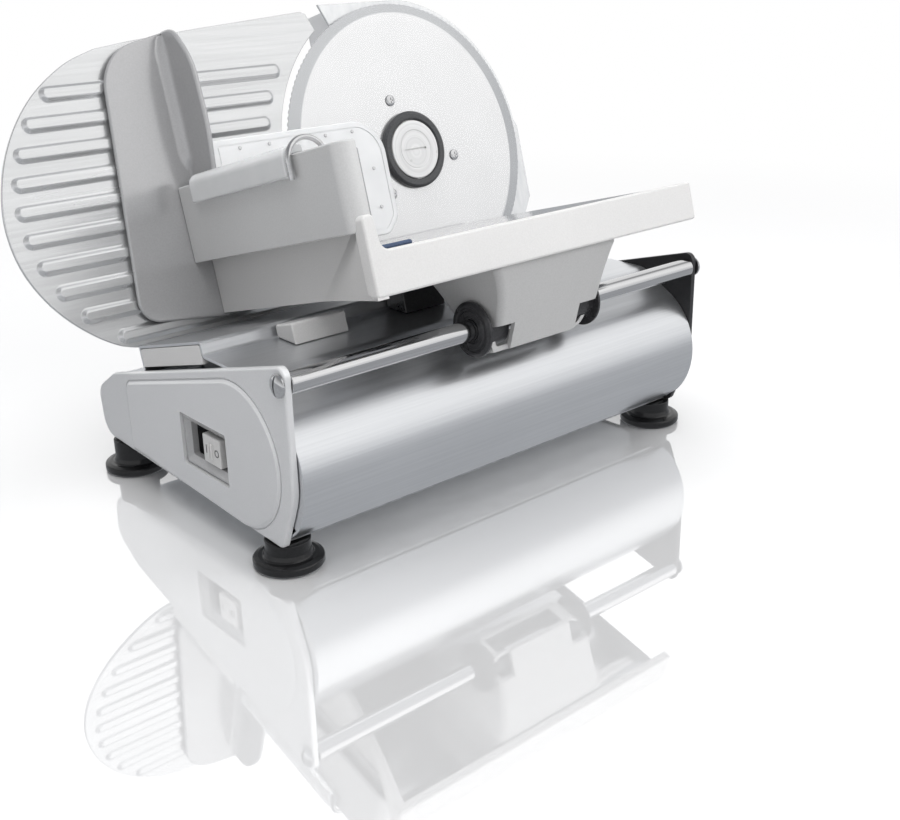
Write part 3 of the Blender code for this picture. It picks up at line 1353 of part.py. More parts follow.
def build_fence_bracket(raked_frame, seat):
    stem_back = seat + SLIDE_STEM_WALL
    half = SLIDE_LENGTH / 2
    outline = [
        (seat, SLIDE_STEM_TOP_C), (stem_back, SLIDE_STEM_TOP_C), (stem_back, SLIDE_BLOCK_TOP_C),
        (SLIDE_BLOCK_BACK_B, SLIDE_BLOCK_TOP_C), (SLIDE_BLOCK_BACK_B, SLIDE_BLOCK_BOTTOM_C),
        (SLIDE_BLOCK_FRONT_B, SLIDE_BLOCK_BOTTOM_C), (SLIDE_BLOCK_FRONT_B, SLIDE_BLOCK_TOP_C),
        (seat, SLIDE_BLOCK_TOP_C),
    ]
    shape = new_shape()
    add_prism(shape, outline, "x", SLIDE_A - half, SLIDE_A + half)
    bracket = add_piece("fence_bracket", shape, "zinc steel", raked_frame)
    bores = new_shape()
    low = SLIDE_BLOCK_FRONT_B - OVERRUN
    high = SLIDE_BLOCK_BACK_B + OVERRUN
    for a in fence_rod_places():
        add_cylinder(bores, FENCE_ROD_RADIUS + FIT_GAP, "y", low, high, (a, SLIDE_AXIS_C))
    add_cylinder(bores, SPINDLE_RADIUS + FIT_GAP, "y", low, high, (SLIDE_A, SLIDE_AXIS_C))
    add_cylinder(bores, FENCE_SCREW_RADIUS + FIT_GAP, "y", seat - OVERRUN, stem_back + OVERRUN,
                 (SLIDE_A, FENCE_SCREW_C), SMALL_STEPS // 2)
    cut(bracket, bores)
    shape = new_shape()
    head = stem_back + FIT_GAP
    tip = FENCE_FRONT_B + FENCE_WALL / 3 + FIT_GAP
    profile = [(0.0, tip), (FENCE_SCREW_RADIUS, tip), (FENCE_SCREW_RADIUS, head), (FENCE_SCREW_HEAD_RADIUS, head),
               (FENCE_SCREW_HEAD_RADIUS, head + FENCE_SCREW_HEAD), (0.0, head + FENCE_SCREW_HEAD)]
    add_turned(shape, profile, "y", (SLIDE_A, FENCE_SCREW_C), SMALL_STEPS // 2)
    add_piece("fence_screw", shape, "zinc steel", raked_frame)


def build_fence_rods(raked_frame):
    low = ROD_BRACKET_FRONT_B - OVERRUN
    high = ROD_BRACKET_BACK_B + ROD_BRACKET_WALL + OVERRUN
    for a, name in zip(fence_rod_places(), ("fence_rod_left", "fence_rod_right")):
        shape = new_shape()
        add_cylinder(shape, FENCE_ROD_RADIUS, "y", low, high, (a, SLIDE_AXIS_C))
        add_piece(name, shape, "bright steel", raked_frame)
    half = ROD_BRACKET_LENGTH / 2
    front_top = RIDGE_TOP_C - SKIN_WALL - FIT_GAP
    back_top = STRIP_C - SKIN_WALL - FIT_GAP
    bottom = ROD_BRACKET_BOTTOM_C
    front = (ROD_BRACKET_FRONT_B, ROD_BRACKET_FRONT_B + ROD_BRACKET_WALL)
    rear = (ROD_BRACKET_BACK_B, ROD_BRACKET_BACK_B + ROD_BRACKET_WALL)
    outline = [
        (front[0], front_top), (front[1], front_top), (front[1], bottom + ROD_BRACKET_WALL),
        (rear[0], bottom + ROD_BRACKET_WALL), (rear[0], back_top), (rear[1], back_top), (rear[1], bottom),
        (front[0], bottom),
    ]
    shape = new_shape()
    add_prism(shape, outline, "x", SLIDE_A - half, SLIDE_A + half)
    brackets = add_piece("fence_rod_bracket", shape, "zinc steel", raked_frame)
    holes = new_shape()
    for a in fence_rod_places():
        add_cylinder(holes, FENCE_ROD_RADIUS + FIT_GAP, "y", low - OVERRUN, high + OVERRUN, (a, SLIDE_AXIS_C))
    add_cylinder(holes, SPINDLE_RADIUS + FIT_GAP, "y", ROD_BRACKET_BACK_B - OVERRUN, high + OVERRUN,
                 (SLIDE_A, SLIDE_AXIS_C))
    cut(brackets, holes)


def build_knob(raked_frame):
    axis = (SLIDE_A, 0.0, SLIDE_AXIS_C)
    shape = new_shape()
    socket_end = KNOB_FRONT_B + KNOB_SOCKET_DEPTH
    add_cylinder(shape, SPINDLE_RADIUS, "y", SPINDLE_FRONT_B, socket_end - FIT_GAP)
    add_piece("thickness_screw", shape, "bright steel", raked_frame, axis)
    outline = []
    for index in range(KNOB_FLUTES * 4):
        angle = math.tau * index / (KNOB_FLUTES * 4)
        radius = KNOB_RADIUS * (KNOB_FLUTE_SHARE if index % 4 == 0 else 1.0)
        outline.append((radius * math.cos(angle), radius * math.sin(angle)))
    shape = new_shape()
    add_prism(shape, outline, "y", KNOB_FRONT_B, KNOB_FRONT_B + KNOB_LENGTH)
    knob = add_piece("thickness_knob", shape, "dark plastic", raked_frame, axis)
    socket = new_shape()
    add_cylinder(socket, SPINDLE_RADIUS + FIT_GAP, "y", KNOB_FRONT_B - OVERRUN, socket_end)
    cut(knob, socket)
    shape = new_shape()
    add_ring(shape, SPINDLE_RADIUS + RUN_GAP, KNOB_BUSH_RADIUS, "y", KNOB_BUSH_FRONT_B, KNOB_FRONT_B - FIT_GAP,
             (SLIDE_A, SLIDE_AXIS_C))
    add_piece("knob_bush", shape, "dark plastic", raked_frame)


def build_stop(raked_frame):
    """The block that the glide foot meets at the left end of the carriage's travel."""
    back = RIDGE_FRONT_B - RIDGE_RADIUS - FIT_GAP
    outline = [(STOP_FRONT_B, STOP_TOP_C), (back, STOP_TOP_C), (back, deck_c(back, FIT_GAP)),
               (STOP_FRONT_B, deck_c(STOP_FRONT_B, FIT_GAP))]
    shape = new_shape()
    add_prism(shape, outline, "x", STOP_LEFT_A, STOP_RIGHT_A)
    add_piece("stop_block", shape, "pale plastic", raked_frame)


# Carriage

def flare_start(level):
    """Where the tray's left wall leaves the straight and starts to lean out, at one level."""
    share = (level - TRAY_WALL_BOTTOM_C) / (TRAY_WALL_TOP_C - TRAY_WALL_BOTTOM_C)
    return FLARE_BOTTOM_B + (FLARE_TOP_B - FLARE_BOTTOM_B) * share


def flare_line(level, end_b):
    """The outer face of the tray's left wall in plan at one level, from its flare to end_b."""
    start_b = flare_start(level)
    points = []
    for index in range(FLARE_STEPS + 1):
        b = start_b + (end_b - start_b) * index / FLARE_STEPS
        reach = (b - start_b) / (BAND_FRONT_B - start_b)
        points.append((WALL_LEFT_A + (TRAY_LEFT_A - WALL_LEFT_A) * reach ** FLARE_POWER, b))
    return points


def flare_ring(level):
    """The tray's left wall in plan at one level: straight beside the food, then out to the front corner."""
    outer = [(WALL_LEFT_A, THUMB_GUARD_FRONT_B - FIT_GAP)] + flare_line(level, BAND_FRONT_B)
    inner = [(a + TRAY_WALL, b) for a, b in outer]
    inner[-1] = (TRAY_LEFT_A + POST_WALL, BAND_FRONT_B)
    return [(a, b, level) for a, b in outer + list(reversed(inner))]


def build_tray(raked_frame):
    levels = 4
    rings = []
    for index in range(levels + 1):
        level = TRAY_WALL_BOTTOM_C + (TRAY_WALL_TOP_C - TRAY_WALL_BOTTOM_C) * index / levels
        rings.append(flare_ring(level))
    shape = new_shape()
    add_loft(shape, rings)
    tray = add_piece("tray_body", shape, "pale plastic", raked_frame)
    band = new_shape()
    add_box(band, (TRAY_LEFT_A + POST_WALL / 2, BAND_FRONT_B, BAND_BOTTOM_C),
            (BAND_RIGHT_A, BAND_FRONT_B + BAND_WALL, BAND_TOP_C))
    weld(tray, band)
    post = new_shape()
    outline = [(BAND_FRONT_B, BAND_BOTTOM_C), (POST_BACK_B, BAND_BOTTOM_C), (POST_BACK_B, TRAY_WALL_TOP_C),
               (BAND_FRONT_B + BAND_WALL, POST_TOP_C), (BAND_FRONT_B, POST_TOP_C)]
    add_prism(post, outline, "x", TRAY_LEFT_A, TRAY_LEFT_A + POST_WALL)
    weld(tray, post)
    build_tray_top(raked_frame)


def build_tray_top(raked_frame):
    """A steel sheet with its right edge folded down. Its left edge follows the flared wall."""
    gap = TRAY_WALL + RUN_GAP
    front = BAND_FRONT_B + BAND_WALL + FIT_GAP
    outline = [(WALL_LEFT_A + gap, TRAY_BACK_B)]
    outline += [(a + gap, b) for a, b in flare_line(TRAY_TOP_C, front)[:-1]]
    outline += [(POST_SEAT_SHARE * TRAY_LEFT_A + (1 - POST_SEAT_SHARE) * WALL_LEFT_A + gap, front),
                (BAND_RIGHT_A - FIT_GAP, front), (BAND_RIGHT_A - FIT_GAP, TRAY_BACK_B)]
    shape = new_shape()
    add_prism(shape, outline, "z", TRAY_UNDER_C, TRAY_TOP_C)
    top = add_piece("tray_top", shape, "bright steel", raked_frame)
    lip = new_shape()
    right = BAND_RIGHT_A - FIT_GAP
    add_box(lip, (right - TRAY_TOP_WALL, front, TRAY_TOP_C - TRAY_LIP), (right, TRAY_BACK_B, TRAY_TOP_C))
    weld(top, lip)
    shape = new_shape()
    add_cylinder(shape, BUMPER_RADIUS, "x", BUMPER_LEFT_A, BUMPER_LEFT_A + BUMPER_LENGTH,
                 (BUMPER_B, TRAY_TOP_C + FIT_GAP + BUMPER_RADIUS), SMALL_STEPS // 2)
    add_piece("tray_bumper", shape, "dark plastic", raked_frame)


def build_wall(raked_frame):
    outline = rounded([
        (THUMB_GUARD_FRONT_B, THUMB_GUARD_TOP_C, 0),
        (WALL_CREST_B, WALL_CREST_C, WALL_CREST_RADIUS),
        (WALL_BROW_B, WALL_BROW_C, WALL_BROW_RADIUS),
        (WALL_WAIST_B, WALL_WAIST_C, 0),
        (WALL_NECK_B, WALL_LOW_TOP_C, 0),
        (WALL_LOW_FRONT_B, WALL_LOW_TOP_C, 0),
        (WALL_LOW_FRONT_B, TRAY_WALL_TOP_C + FIT_GAP, 0),
        (THUMB_GUARD_FRONT_B, TRAY_WALL_TOP_C + FIT_GAP, 0),
    ])
    shape = new_shape()
    add_prism(shape, outline, "x", WALL_LEFT_A, WALL_RIGHT_A)
    wall = add_piece("trailing_wall", shape, "grey plastic", raked_frame)
    guard = new_shape()
    outline = rounded([
        (WALL_RIGHT_A, THUMB_GUARD_TOP_C, 0),
        (THUMB_GUARD_LEFT_TOP_A, THUMB_GUARD_LEFT_TOP_C, THUMB_GUARD_TOP_RADIUS),
        (THUMB_GUARD_LEFT_BOTTOM_A, THUMB_GUARD_LEFT_BOTTOM_C, THUMB_GUARD_BOTTOM_RADIUS),
        (WALL_RIGHT_A, THUMB_GUARD_BOTTOM_C, 0),
    ])
    add_prism(guard, outline, "y", THUMB_GUARD_FRONT_B, THUMB_GUARD_FRONT_B + THUMB_GUARD_WALL)
    weld(wall, guard)


def leg_levels():
    """The leg's outer section at each level: (c, left, right, front, back)."""
    span = LEG_KNEE_C - LEG_BOTTOM_C
    levels = [(LEG_TOP_C, LEG_TOP_LEFT_A, LEG_TOP_RIGHT_A, LEG_FRONT_B, LEG_BACK_B)]
    for share in LEG_LEVEL_SHARES:
        c = LEG_KNEE_C - span * share
        side = (1.0 - share) ** LEG_SIDE_POWER
        left = LEG_LEFT_A + (LEG_TOP_LEFT_A - LEG_LEFT_A) * side
        right = LEG_RIGHT_A + (LEG_TOP_RIGHT_A - LEG_RIGHT_A) * side
        above_toe = LEG_TOE_RADIUS - (c - LEG_BOTTOM_C)
        if above_toe > 0:
            right -= LEG_TOE_RADIUS - math.sqrt(LEG_TOE_RADIUS ** 2 - above_toe ** 2)
        front = LEG_FRONT_B + (LEG_BOTTOM_FRONT_B - LEG_FRONT_B) * share
        back = LEG_BACK_B + (LEG_BOTTOM_BACK_B - LEG_BACK_B) * share ** LEG_BACK_POWER
        levels.append((c, left, right, front, back))
    return levels


def leg_ring(level, inset, radius):
    c, left, right, front, back = level
    outline = rounded_box(left + inset, right - inset, front + inset, back - inset, radius)
    return [(a, b, c) for a, b in outline]


def rod_place():
    """The guide rod's axis in the raked frame, as (b, c)."""
    y = ROD_Y - HUB_Y
    z = ROD_Z - HUB_Z
    return y * RAKE_COS - z * RAKE_SIN, y * RAKE_SIN + z * RAKE_COS


def build_leg(raked_frame):
    levels = leg_levels()
    shape = new_shape()
    add_loft(shape, [leg_ring(level, 0.0, LEG_CORNER_RADIUS) for level in levels])
    leg = add_piece("carriage_leg", shape, "grey plastic", raked_frame)
    inner_levels = [(LEG_TOP_C - LEG_WALL, *levels[0][1:])] + levels[1:]
    inner_levels.append((LEG_BOTTOM_C - OVERRUN, *levels[-1][1:]))
    hollow = new_shape()
    add_loft(hollow, [leg_ring(level, LEG_WALL, LEG_CORNER_RADIUS / 4) for level in inner_levels])
    cut(leg, hollow)
    holes = new_shape()
    add_cylinder(holes, BUSHING_RADIUS + FIT_GAP, "x", LEG_TOP_LEFT_A - OVERRUN, LEG_TOP_RIGHT_A + OVERRUN,
                 rod_place())
    cut(leg, holes)
    windows = new_shape()
    back = LEG_BOTTOM_FRONT_B + LEG_WALL / 2
    front = LEG_FRONT_B - OVERRUN
    low = LEG_BOTTOM_C - OVERRUN
    add_box(windows, (LEG_LEFT_A - OVERRUN, front, low), (LEG_LEFT_A + LEG_WINDOW_LEFT, back, LEG_WINDOW_TOP_C))
    add_box(windows, (LEG_RIGHT_A - LEG_WINDOW_RIGHT, front, low),
            (LEG_RIGHT_A + OVERRUN, back, LEG_WINDOW_TOP_C))
    cut(leg, windows)
    build_bushings(raked_frame)
    build_glide(raked_frame)


def bushing_seat(side):
    """Where a bushing's flange starts: just outside the leg's widest place beside the flange."""
    b, c = rod_place()
    level = c + BUSHING_FLANGE_RADIUS
    share = (LEG_KNEE_C - level) / (LEG_KNEE_C - LEG_BOTTOM_C)
    spread = (1.0 - share) ** LEG_SIDE_POWER
    if side < 0:
        return LEG_LEFT_A + (LEG_TOP_LEFT_A - LEG_LEFT_A) * spread - RUN_GAP
    return LEG_RIGHT_A + (LEG_TOP_RIGHT_A - LEG_RIGHT_A) * spread + RUN_GAP


def build_bushings(raked_frame):
    bore = ROD_RADIUS + FIT_GAP
    for side, name in ((-1, "bushing_left"), (1, "bushing_right")):
        seat = bushing_seat(side)
        outer = seat + side * BUSHING_FLANGE
        inner = seat - side * BUSHING_LENGTH
        profile = [(bore, inner), (BUSHING_RADIUS, inner), (BUSHING_RADIUS, seat), (BUSHING_FLANGE_RADIUS, seat),
                   (BUSHING_FLANGE_RADIUS, seat + side * BUSHING_FLANGE / 2),
                   (BUSHING_RADIUS, outer), (bore, outer)]
        shape = new_shape()
        add_turned(shape, profile, "x", rod_place())
        add_piece(name, shape, "dark plastic", raked_frame)


def build_glide(raked_frame):
    """A foot under the tray that runs on the deck in front of the ridge, hung from the steel top."""
    stem_back = GLIDE_BACK_B
    stem_front = GLIDE_BACK_B - GLIDE_STEM
    outline = [
        (stem_front, LEG_TOP_C), (stem_back, LEG_TOP_C), (GLIDE_BACK_B, deck_c(GLIDE_BACK_B, RUN_GAP)),
        (GLIDE_FRONT_B, deck_c(GLIDE_FRONT_B, RUN_GAP)), (GLIDE_FRONT_B, GLIDE_SHOULDER_C),
        (stem_front, GLIDE_SHOULDER_C),
    ]
    shape = new_shape()
    add_prism(shape, outline, "x", GLIDE_LEFT_A, GLIDE_RIGHT_A)
    add_piece("glide_foot", shape, "dark plastic", raked_frame)


# Food pusher

def saddle_outline(inset):
    right = WALL_LEFT_A - FIT_GAP - inset
    return rounded([
        (SADDLE_LEFT_A + inset, SADDLE_BACK_B - inset, 0),
        (SADDLE_LEFT_A + inset, SADDLE_FRONT_B + inset, max(SADDLE_NOSE_RADIUS - inset, SADDLE_WALL / 2)),
        (right, SADDLE_FRONT_B + inset, 0),
        (right, SADDLE_BACK_B - inset, 0),
    ])


def build_pusher(raked_frame):
    shape = new_shape()
    add_prism(shape, saddle_outline(0.0), "z", SADDLE_BOTTOM_C, 0.0)
    saddle = add_piece("pusher_saddle", shape, "pale plastic", raked_frame)
    hollow = new_shape()
    add_prism(hollow, saddle_outline(SADDLE_WALL), "z", SADDLE_BOTTOM_C - OVERRUN, -SADDLE_WALL)
    cut(saddle, hollow)
    skirt_left = WALL_RIGHT_A + FIT_GAP
    skirt_right = skirt_left + SADDLE_WALL
    web = new_shape()
    add_box(web, (WALL_LEFT_A - SADDLE_WALL, SADDLE_WEB_FRONT_B, -SADDLE_WEB), (skirt_right, SADDLE_WEB_BACK_B, 0.0))
    weld(saddle, web)
    skirt = new_shape()
    add_box(skirt, (skirt_left, SADDLE_WEB_FRONT_B, SADDLE_SKIRT_BOTTOM_C),
            (skirt_right, SADDLE_WEB_BACK_B, -SADDLE_WEB / 2))
    weld(saddle, skirt)
    build_bar(raked_frame)
    build_wire(raked_frame)
    build_pusher_plate(raked_frame, skirt_right + FIT_GAP)


def build_bar(raked_frame):
    inner_a = SADDLE_LEFT_A - FIT_GAP
    inner_c = FIT_GAP
    outline = rounded([
        (BAR_LEFT_A, BAR_BOTTOM_C, 0), (inner_a, BAR_BOTTOM_C, 0), (inner_a, inner_c, 0),
        (BAR_RIGHT_A, inner_c, 0), (BAR_RIGHT_A, BAR_TOP_C, 0), (BAR_LEFT_A, BAR_TOP_C, BAR_RADIUS),
    ])
    shape = new_shape()
    add_prism(shape, outline, "y", BAR_FRONT_B, BAR_BACK_B)
    add_piece("pusher_bar", shape, "clear plastic", raked_frame)


def build_wire(raked_frame):
    """The arch over the wall, from the saddle's face to the arm on the food side."""
    arch = arc(WIRE_ARCH_A, WIRE_ARCH_C, WIRE_ARCH_RADIUS, 180.0, 0.0)
    low = ARM_TOP_C + FIT_GAP
    path = [(arch[0][0], WIRE_B, WIRE_ARCH_C - WIRE_LEFT_DROP)]
    path += [(a, WIRE_B, c) for a, c in arch]
    path.append((arch[-1][0], WIRE_B, low))
    shape = new_shape()
    add_tube(shape, path, WIRE_RADIUS, SMALL_STEPS // 2)
    add_piece("pusher_wire", shape, "bright steel", raked_frame)


def build_pusher_plate(raked_frame, arm_left):
    outline = rounded([
        (PUSHER_LEFT_A, PUSHER_BOTTOM_C, 0),
        (PUSHER_WAIST_A, PUSHER_BOTTOM_C, PUSHER_WAIST_RADIUS),
        (PUSHER_RIGHT_A, PUSHER_WAIST_C, PUSHER_WAIST_RADIUS),
        (PUSHER_RIGHT_A, PUSHER_TOP_C, PUSHER_CORNER_RADIUS),
        (PUSHER_LEFT_A, PUSHER_TOP_C, 0),
    ])
    back = PUSHER_FRONT_B + PUSHER_WALL
    shape = new_shape()
    add_prism(shape, outline, "y", PUSHER_FRONT_B, back)
    plate = add_piece("pusher_plate", shape, "clear plastic", raked_frame)
    spikes = new_shape()
    head = PUSHER_FRONT_B - SPIKE_HEAD
    profile = [(0.0, head), (SPIKE_RADIUS, head), (SPIKE_RADIUS, back + SPIKE_LENGTH / 2),
               (0.0, back + SPIKE_LENGTH)]
    for place in spike_places():
        add_turned(spikes, profile, "y", place, SMALL_STEPS // 3)
    weld(plate, spikes)
    arm = new_shape()
    add_box(arm, (arm_left, ARM_FRONT_B, ARM_BOTTOM_C),
            (arm_left + ARM_THICKNESS, PUSHER_FRONT_B + PUSHER_WALL / 2, ARM_TOP_C))
    weld(plate, arm)


def spike_places():
    """A row along the top edge, and two short columns down both sides."""
    top = PUSHER_TOP_C - SPIKE_TOP_MARGIN
    left = PUSHER_LEFT_A + SPIKE_LEFT_MARGIN
    places = [(left + column * SPIKE_PITCH, top) for column in range(SPIKE_COLUMNS)]
    for row in range(1, SPIKE_ROWS):
        for a in (left, PUSHER_RIGHT_A - SPIKE_RIGHT_MARGIN):
            places.append((a, top - row * SPIKE_ROW_PITCH))
    return places


def build_slicer():
    clear_scene()
    base = new_frame("base_frame", (-MIDDLE_X, -MIDDLE_Y, 0.0), 0.0)
    raked_frame = new_frame("raked_frame", (HUB_X, HUB_Y, HUB_Z), RAKE, base)
    build_skin(base)
    build_end_plates(base)
    build_bottom(base)
    build_ridge_caps(base)
    build_feet(base)
    build_rod(base)
    build_switch(base)
    build_electrics(base)
    build_blade(raked_frame)
    build_gear(raked_frame)
    build_guard(raked_frame)
    build_motor(raked_frame)
    build_fence(raked_frame)
    build_stop(raked_frame)
    build_tray(raked_frame)
    build_wall(raked_frame)
    build_leg(raked_frame)
    build_pusher(raked_frame)


build_slicer()
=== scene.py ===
import math

import bmesh
import bpy
import numpy as np
from mathutils import Matrix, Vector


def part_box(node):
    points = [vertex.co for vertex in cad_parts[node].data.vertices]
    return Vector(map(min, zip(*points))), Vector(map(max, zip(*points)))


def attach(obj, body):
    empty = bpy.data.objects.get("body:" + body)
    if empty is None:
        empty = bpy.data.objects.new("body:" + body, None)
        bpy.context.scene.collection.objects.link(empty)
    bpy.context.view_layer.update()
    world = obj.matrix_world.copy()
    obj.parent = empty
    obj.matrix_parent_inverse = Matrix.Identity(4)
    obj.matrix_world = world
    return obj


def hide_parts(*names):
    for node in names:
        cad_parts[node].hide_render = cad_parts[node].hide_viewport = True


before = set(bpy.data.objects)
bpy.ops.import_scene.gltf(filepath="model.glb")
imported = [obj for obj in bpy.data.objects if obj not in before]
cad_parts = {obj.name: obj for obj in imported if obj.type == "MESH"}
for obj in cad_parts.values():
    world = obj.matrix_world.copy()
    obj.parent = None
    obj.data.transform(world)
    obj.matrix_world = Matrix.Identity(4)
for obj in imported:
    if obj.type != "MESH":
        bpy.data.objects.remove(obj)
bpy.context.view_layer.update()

# The looks of an electric food slicer. Sizes are in millimetres, and the meshes are written in metres.
# "raked" places are (a, b, c) from the blade's centre: a to the right, b back and down, c up and back.
# "based" places are (x, y, z) from the table, at the middle of the base.

rake = math.radians(15.5)
footLow, footHigh = (np.array(corner) * 1000 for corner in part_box("foot_front_left"))
hubInBase = np.array([77.5, 77.0, 163.2])
footInBase = np.array([-140.0, -82.2, 0.0])  # the front left foot
hub = hubInBase + (*((footLow + footHigh) / 2)[:2], footLow[2]) - footInBase
gap = 0.3  # between pieces that touch


def raked(points):
    a, b, c = np.moveaxis(np.asarray(points, float), -1, 0)
    y = hub[1] + b * math.cos(rake) + c * math.sin(rake)
    z = hub[2] - b * math.sin(rake) + c * math.cos(rake)
    return np.stack([hub[0] + a, y, z], -1) / 1000


def based(points):
    return (np.asarray(points, float) + hub - hubInBase) / 1000


def rakedYZ(b, c):  # a raked place as (y, z) of the base
    y = hubInBase[1] + b * math.cos(rake) + c * math.sin(rake)
    return y, hubInBase[2] - b * math.sin(rake) + c * math.cos(rake)


def heightOn(c, y):  # height at y of the raked plane at c
    return hubInBase[2] + (c - (y - hubInBase[1]) * math.sin(rake)) / math.cos(rake)


def deckC(b, lift):  # where the level deck, lifted, lies along c
    return b * math.tan(rake) + (base["deckZ"] + lift - hubInBase[2]) / math.cos(rake)


# Outlines: closed or open lines of (u, v)

def arc(u, v, radius, start, end, step=4.0):  # u + r cos t, v + r sin t
    count = max(3, math.ceil(abs(end - start) / step - 0.01))
    t = np.radians(np.linspace(start, end, count + 1))
    return np.stack([u + radius * np.cos(t), v + radius * np.sin(t)], -1)


def unit(vector):
    return vector / np.linalg.norm(vector)


def rounded(corners, closed=True, step=6.0):  # corners (u, v, radius), each turned by its own arc
    corners = np.asarray(corners, float)
    spots, runs = corners[:, :2], []
    for index, (here, radius) in enumerate(zip(spots, corners[:, 2])):
        if radius == 0 or (not closed and index in (0, len(spots) - 1)):
            runs.append(here[None])
            continue
        back = unit(spots[index - 1] - here)
        onward = unit(spots[(index + 1) % len(spots)] - here)
        half = math.acos(np.clip(back @ onward, -1, 1)) / 2
        centre = here + unit(back + onward) * radius / math.sin(half)
        first, last = here + back * radius / math.tan(half), here + onward * radius / math.tan(half)
        start, end = (math.degrees(math.atan2(*(spot - centre)[::-1])) for spot in (first, last))
        turn = (end - start + 180) % 360 - 180
        runs.append(arc(*centre, radius, start, start + turn, step))
    return np.concatenate(runs)


def roundBox(lowU, highU, lowV, highV, radius, step=10.0):
    return rounded([(lowU, lowV, radius), (highU, lowV, radius), (highU, highV, radius), (lowU, highV, radius)],
                   step=step)


def ringLine(u, v, radius, steps=64):
    return arc(u, v, radius, 0, 360 - 360 / steps, 360 / steps)


def smoothLine(points, steps=10):  # a Catmull-Rom curve through the points
    p = np.asarray(points, float)
    p = np.concatenate([p[:1], p, p[-1:]])
    t = np.linspace(0, 1, steps, endpoint=False)[:, None]
    p0, p1, p2, p3 = (p[i:len(p) - 3 + i][:, None] for i in range(4))
    curve = p1 * 2 + (p2 - p0) * t + (p0 * 2 - p1 * 5 + p2 * 4 - p3) * t ** 2
    curve = (curve + (p1 * 3 - p0 - p2 * 3 + p3) * t ** 3) / 2
    return np.concatenate([curve.reshape(-1, 2), p[-1:]])


def tidyLine(outline):  # no doubled points, running anticlockwise
    outline = np.asarray(outline, float)
    outline = outline[np.linalg.norm(outline - np.roll(outline, 1, 0), axis=1) > 1e-5]
    u, v = outline.T
    return outline if np.sum(u * np.roll(v, -1) - v * np.roll(u, -1)) > 0 else outline[::-1]


def crossing(spot, way, otherSpot, otherWay):  # where two lines meet, or halfway if they run alike
    turn = way[0] * otherWay[1] - way[1] * otherWay[0]
    if abs(turn) < 1e-6:
        return (spot + otherSpot) / 2
    between = otherSpot - spot
    return spot + way * (between[0] * otherWay[1] - between[1] * otherWay[0]) / turn


def drawnIn(outline, distance):
    # each point moved in along the mitre of its two sides; a corner's arc that would fold becomes one point
    ahead = np.roll(outline, -1, 0) - outline
    ahead /= np.linalg.norm(ahead, axis=1, keepdims=True)
    both = ahead + np.roll(ahead, 1, 0)
    length = np.maximum(np.linalg.norm(both, axis=1, keepdims=True), 0.7)
    moved = outline + np.stack([-both[:, 1], both[:, 0]], -1) / length ** 2 * 2 * distance
    folded = np.sum((np.roll(moved, -1, 0) - moved) * ahead, axis=1) < 1e-9
    count = len(outline)
    for start in np.flatnonzero(folded & ~np.roll(folded, 1)):
        end = start
        while folded[end % count]:
            end += 1
        spot = crossing(moved[start], ahead[start - 1], moved[end % count], ahead[end % count])
        moved[np.arange(start, end + 1) % count] = spot
    return moved


def thickened(path, wall):  # a sheet's closed outline: the path, and the path moved to its right
    along = np.diff(path, axis=0)
    along /= np.linalg.norm(along, axis=1, keepdims=True)
    side = np.stack([along[:, 1], -along[:, 0]], -1)
    first, last = np.concatenate([side[:1], side]), np.concatenate([side, side[-1:]])
    middle = (first + last) / np.linalg.norm(first + last, axis=1, keepdims=True)
    moved = path + middle * wall / np.sum(middle * first, axis=1, keepdims=True)
    return np.concatenate([path, moved[::-1]])


# Shapes: (points, quads, caps) in millimetres

def standing(axis, outline, w):  # an outline (u, v) set at w along its axis
    u, v = np.moveaxis(outline, -1, 0)
    w = np.broadcast_to(w, u.shape)
    order = {"x": (w, u, v), "y": (u, w, v), "z": (u, v, w)}[axis]
    return np.stack(order, -1)


def gridQuads(rows, cols, roundRows, roundCols):
    i = np.arange(rows if roundRows else rows - 1)[:, None]
    j = np.arange(cols if roundCols else cols - 1)[None]
    i2, j2 = (i + 1) % rows, (j + 1) % cols
    corners = [i * cols + j, i * cols + j2, i2 * cols + j2, i2 * cols + j]
    return np.stack(np.broadcast_arrays(*corners), -1).reshape(-1, 4)


def loft(rings, hoop=False):  # equal rings of points joined in turn, closed by caps or into a hoop
    rings = np.asarray(rings)
    rows, cols = rings.shape[:2]
    last = (rows - 1) * cols
    caps = [] if hoop else [list(range(cols))[::-1], list(range(last, last + cols))]
    return rings.reshape(-1, 3), gridQuads(rows, cols, hoop, True), caps


def slab(outline, axis, low, high, edge=0.5, farEdge=None, steps=4):
    # the outline along its axis, drawn in at both rims: inset r(1 - sin t), height r(1 - cos t)
    outline = tidyLine(outline)
    turn = np.linspace(0, math.pi / 2, steps + 1)
    near, far = edge, edge if farEdge is None else farEdge
    inset = np.concatenate([near * (1 - np.sin(turn)), far * (1 - np.sin(turn[::-1]))])
    place = np.concatenate([low + near * (1 - np.cos(turn)), high - far * (1 - np.cos(turn[::-1]))])
    return loft([standing(axis, drawnIn(outline, d), w) for d, w in zip(inset, place)])


def turned(profile, axis, centre=(0, 0), steps=96, ripple=None):
    # radius r and place w carried round the axis: u + r cos t, v + r sin t
    r, w = np.asarray(profile, float).T
    t = np.linspace(0, math.tau, steps, endpoint=False)[:, None]
    r = r + (ripple(t) * (r > r.max() - 0.05) if ripple else 0 * t)
    rings = standing(axis, np.stack([centre[0] + r * np.cos(t), centre[1] + r * np.sin(t)], -1), w + 0 * t)
    return rings.reshape(-1, 3), gridQuads(steps, len(w), True, profile[0][0] > 0), []


def block(outline, axis, low, high):  # a slab with sharp rims
    return slab(outline, axis, low, high, 0.0, steps=1)


def bore(axis, place, radius, low, high, steps=64):
    return block(ringLine(*place, radius, steps), axis, low, high)


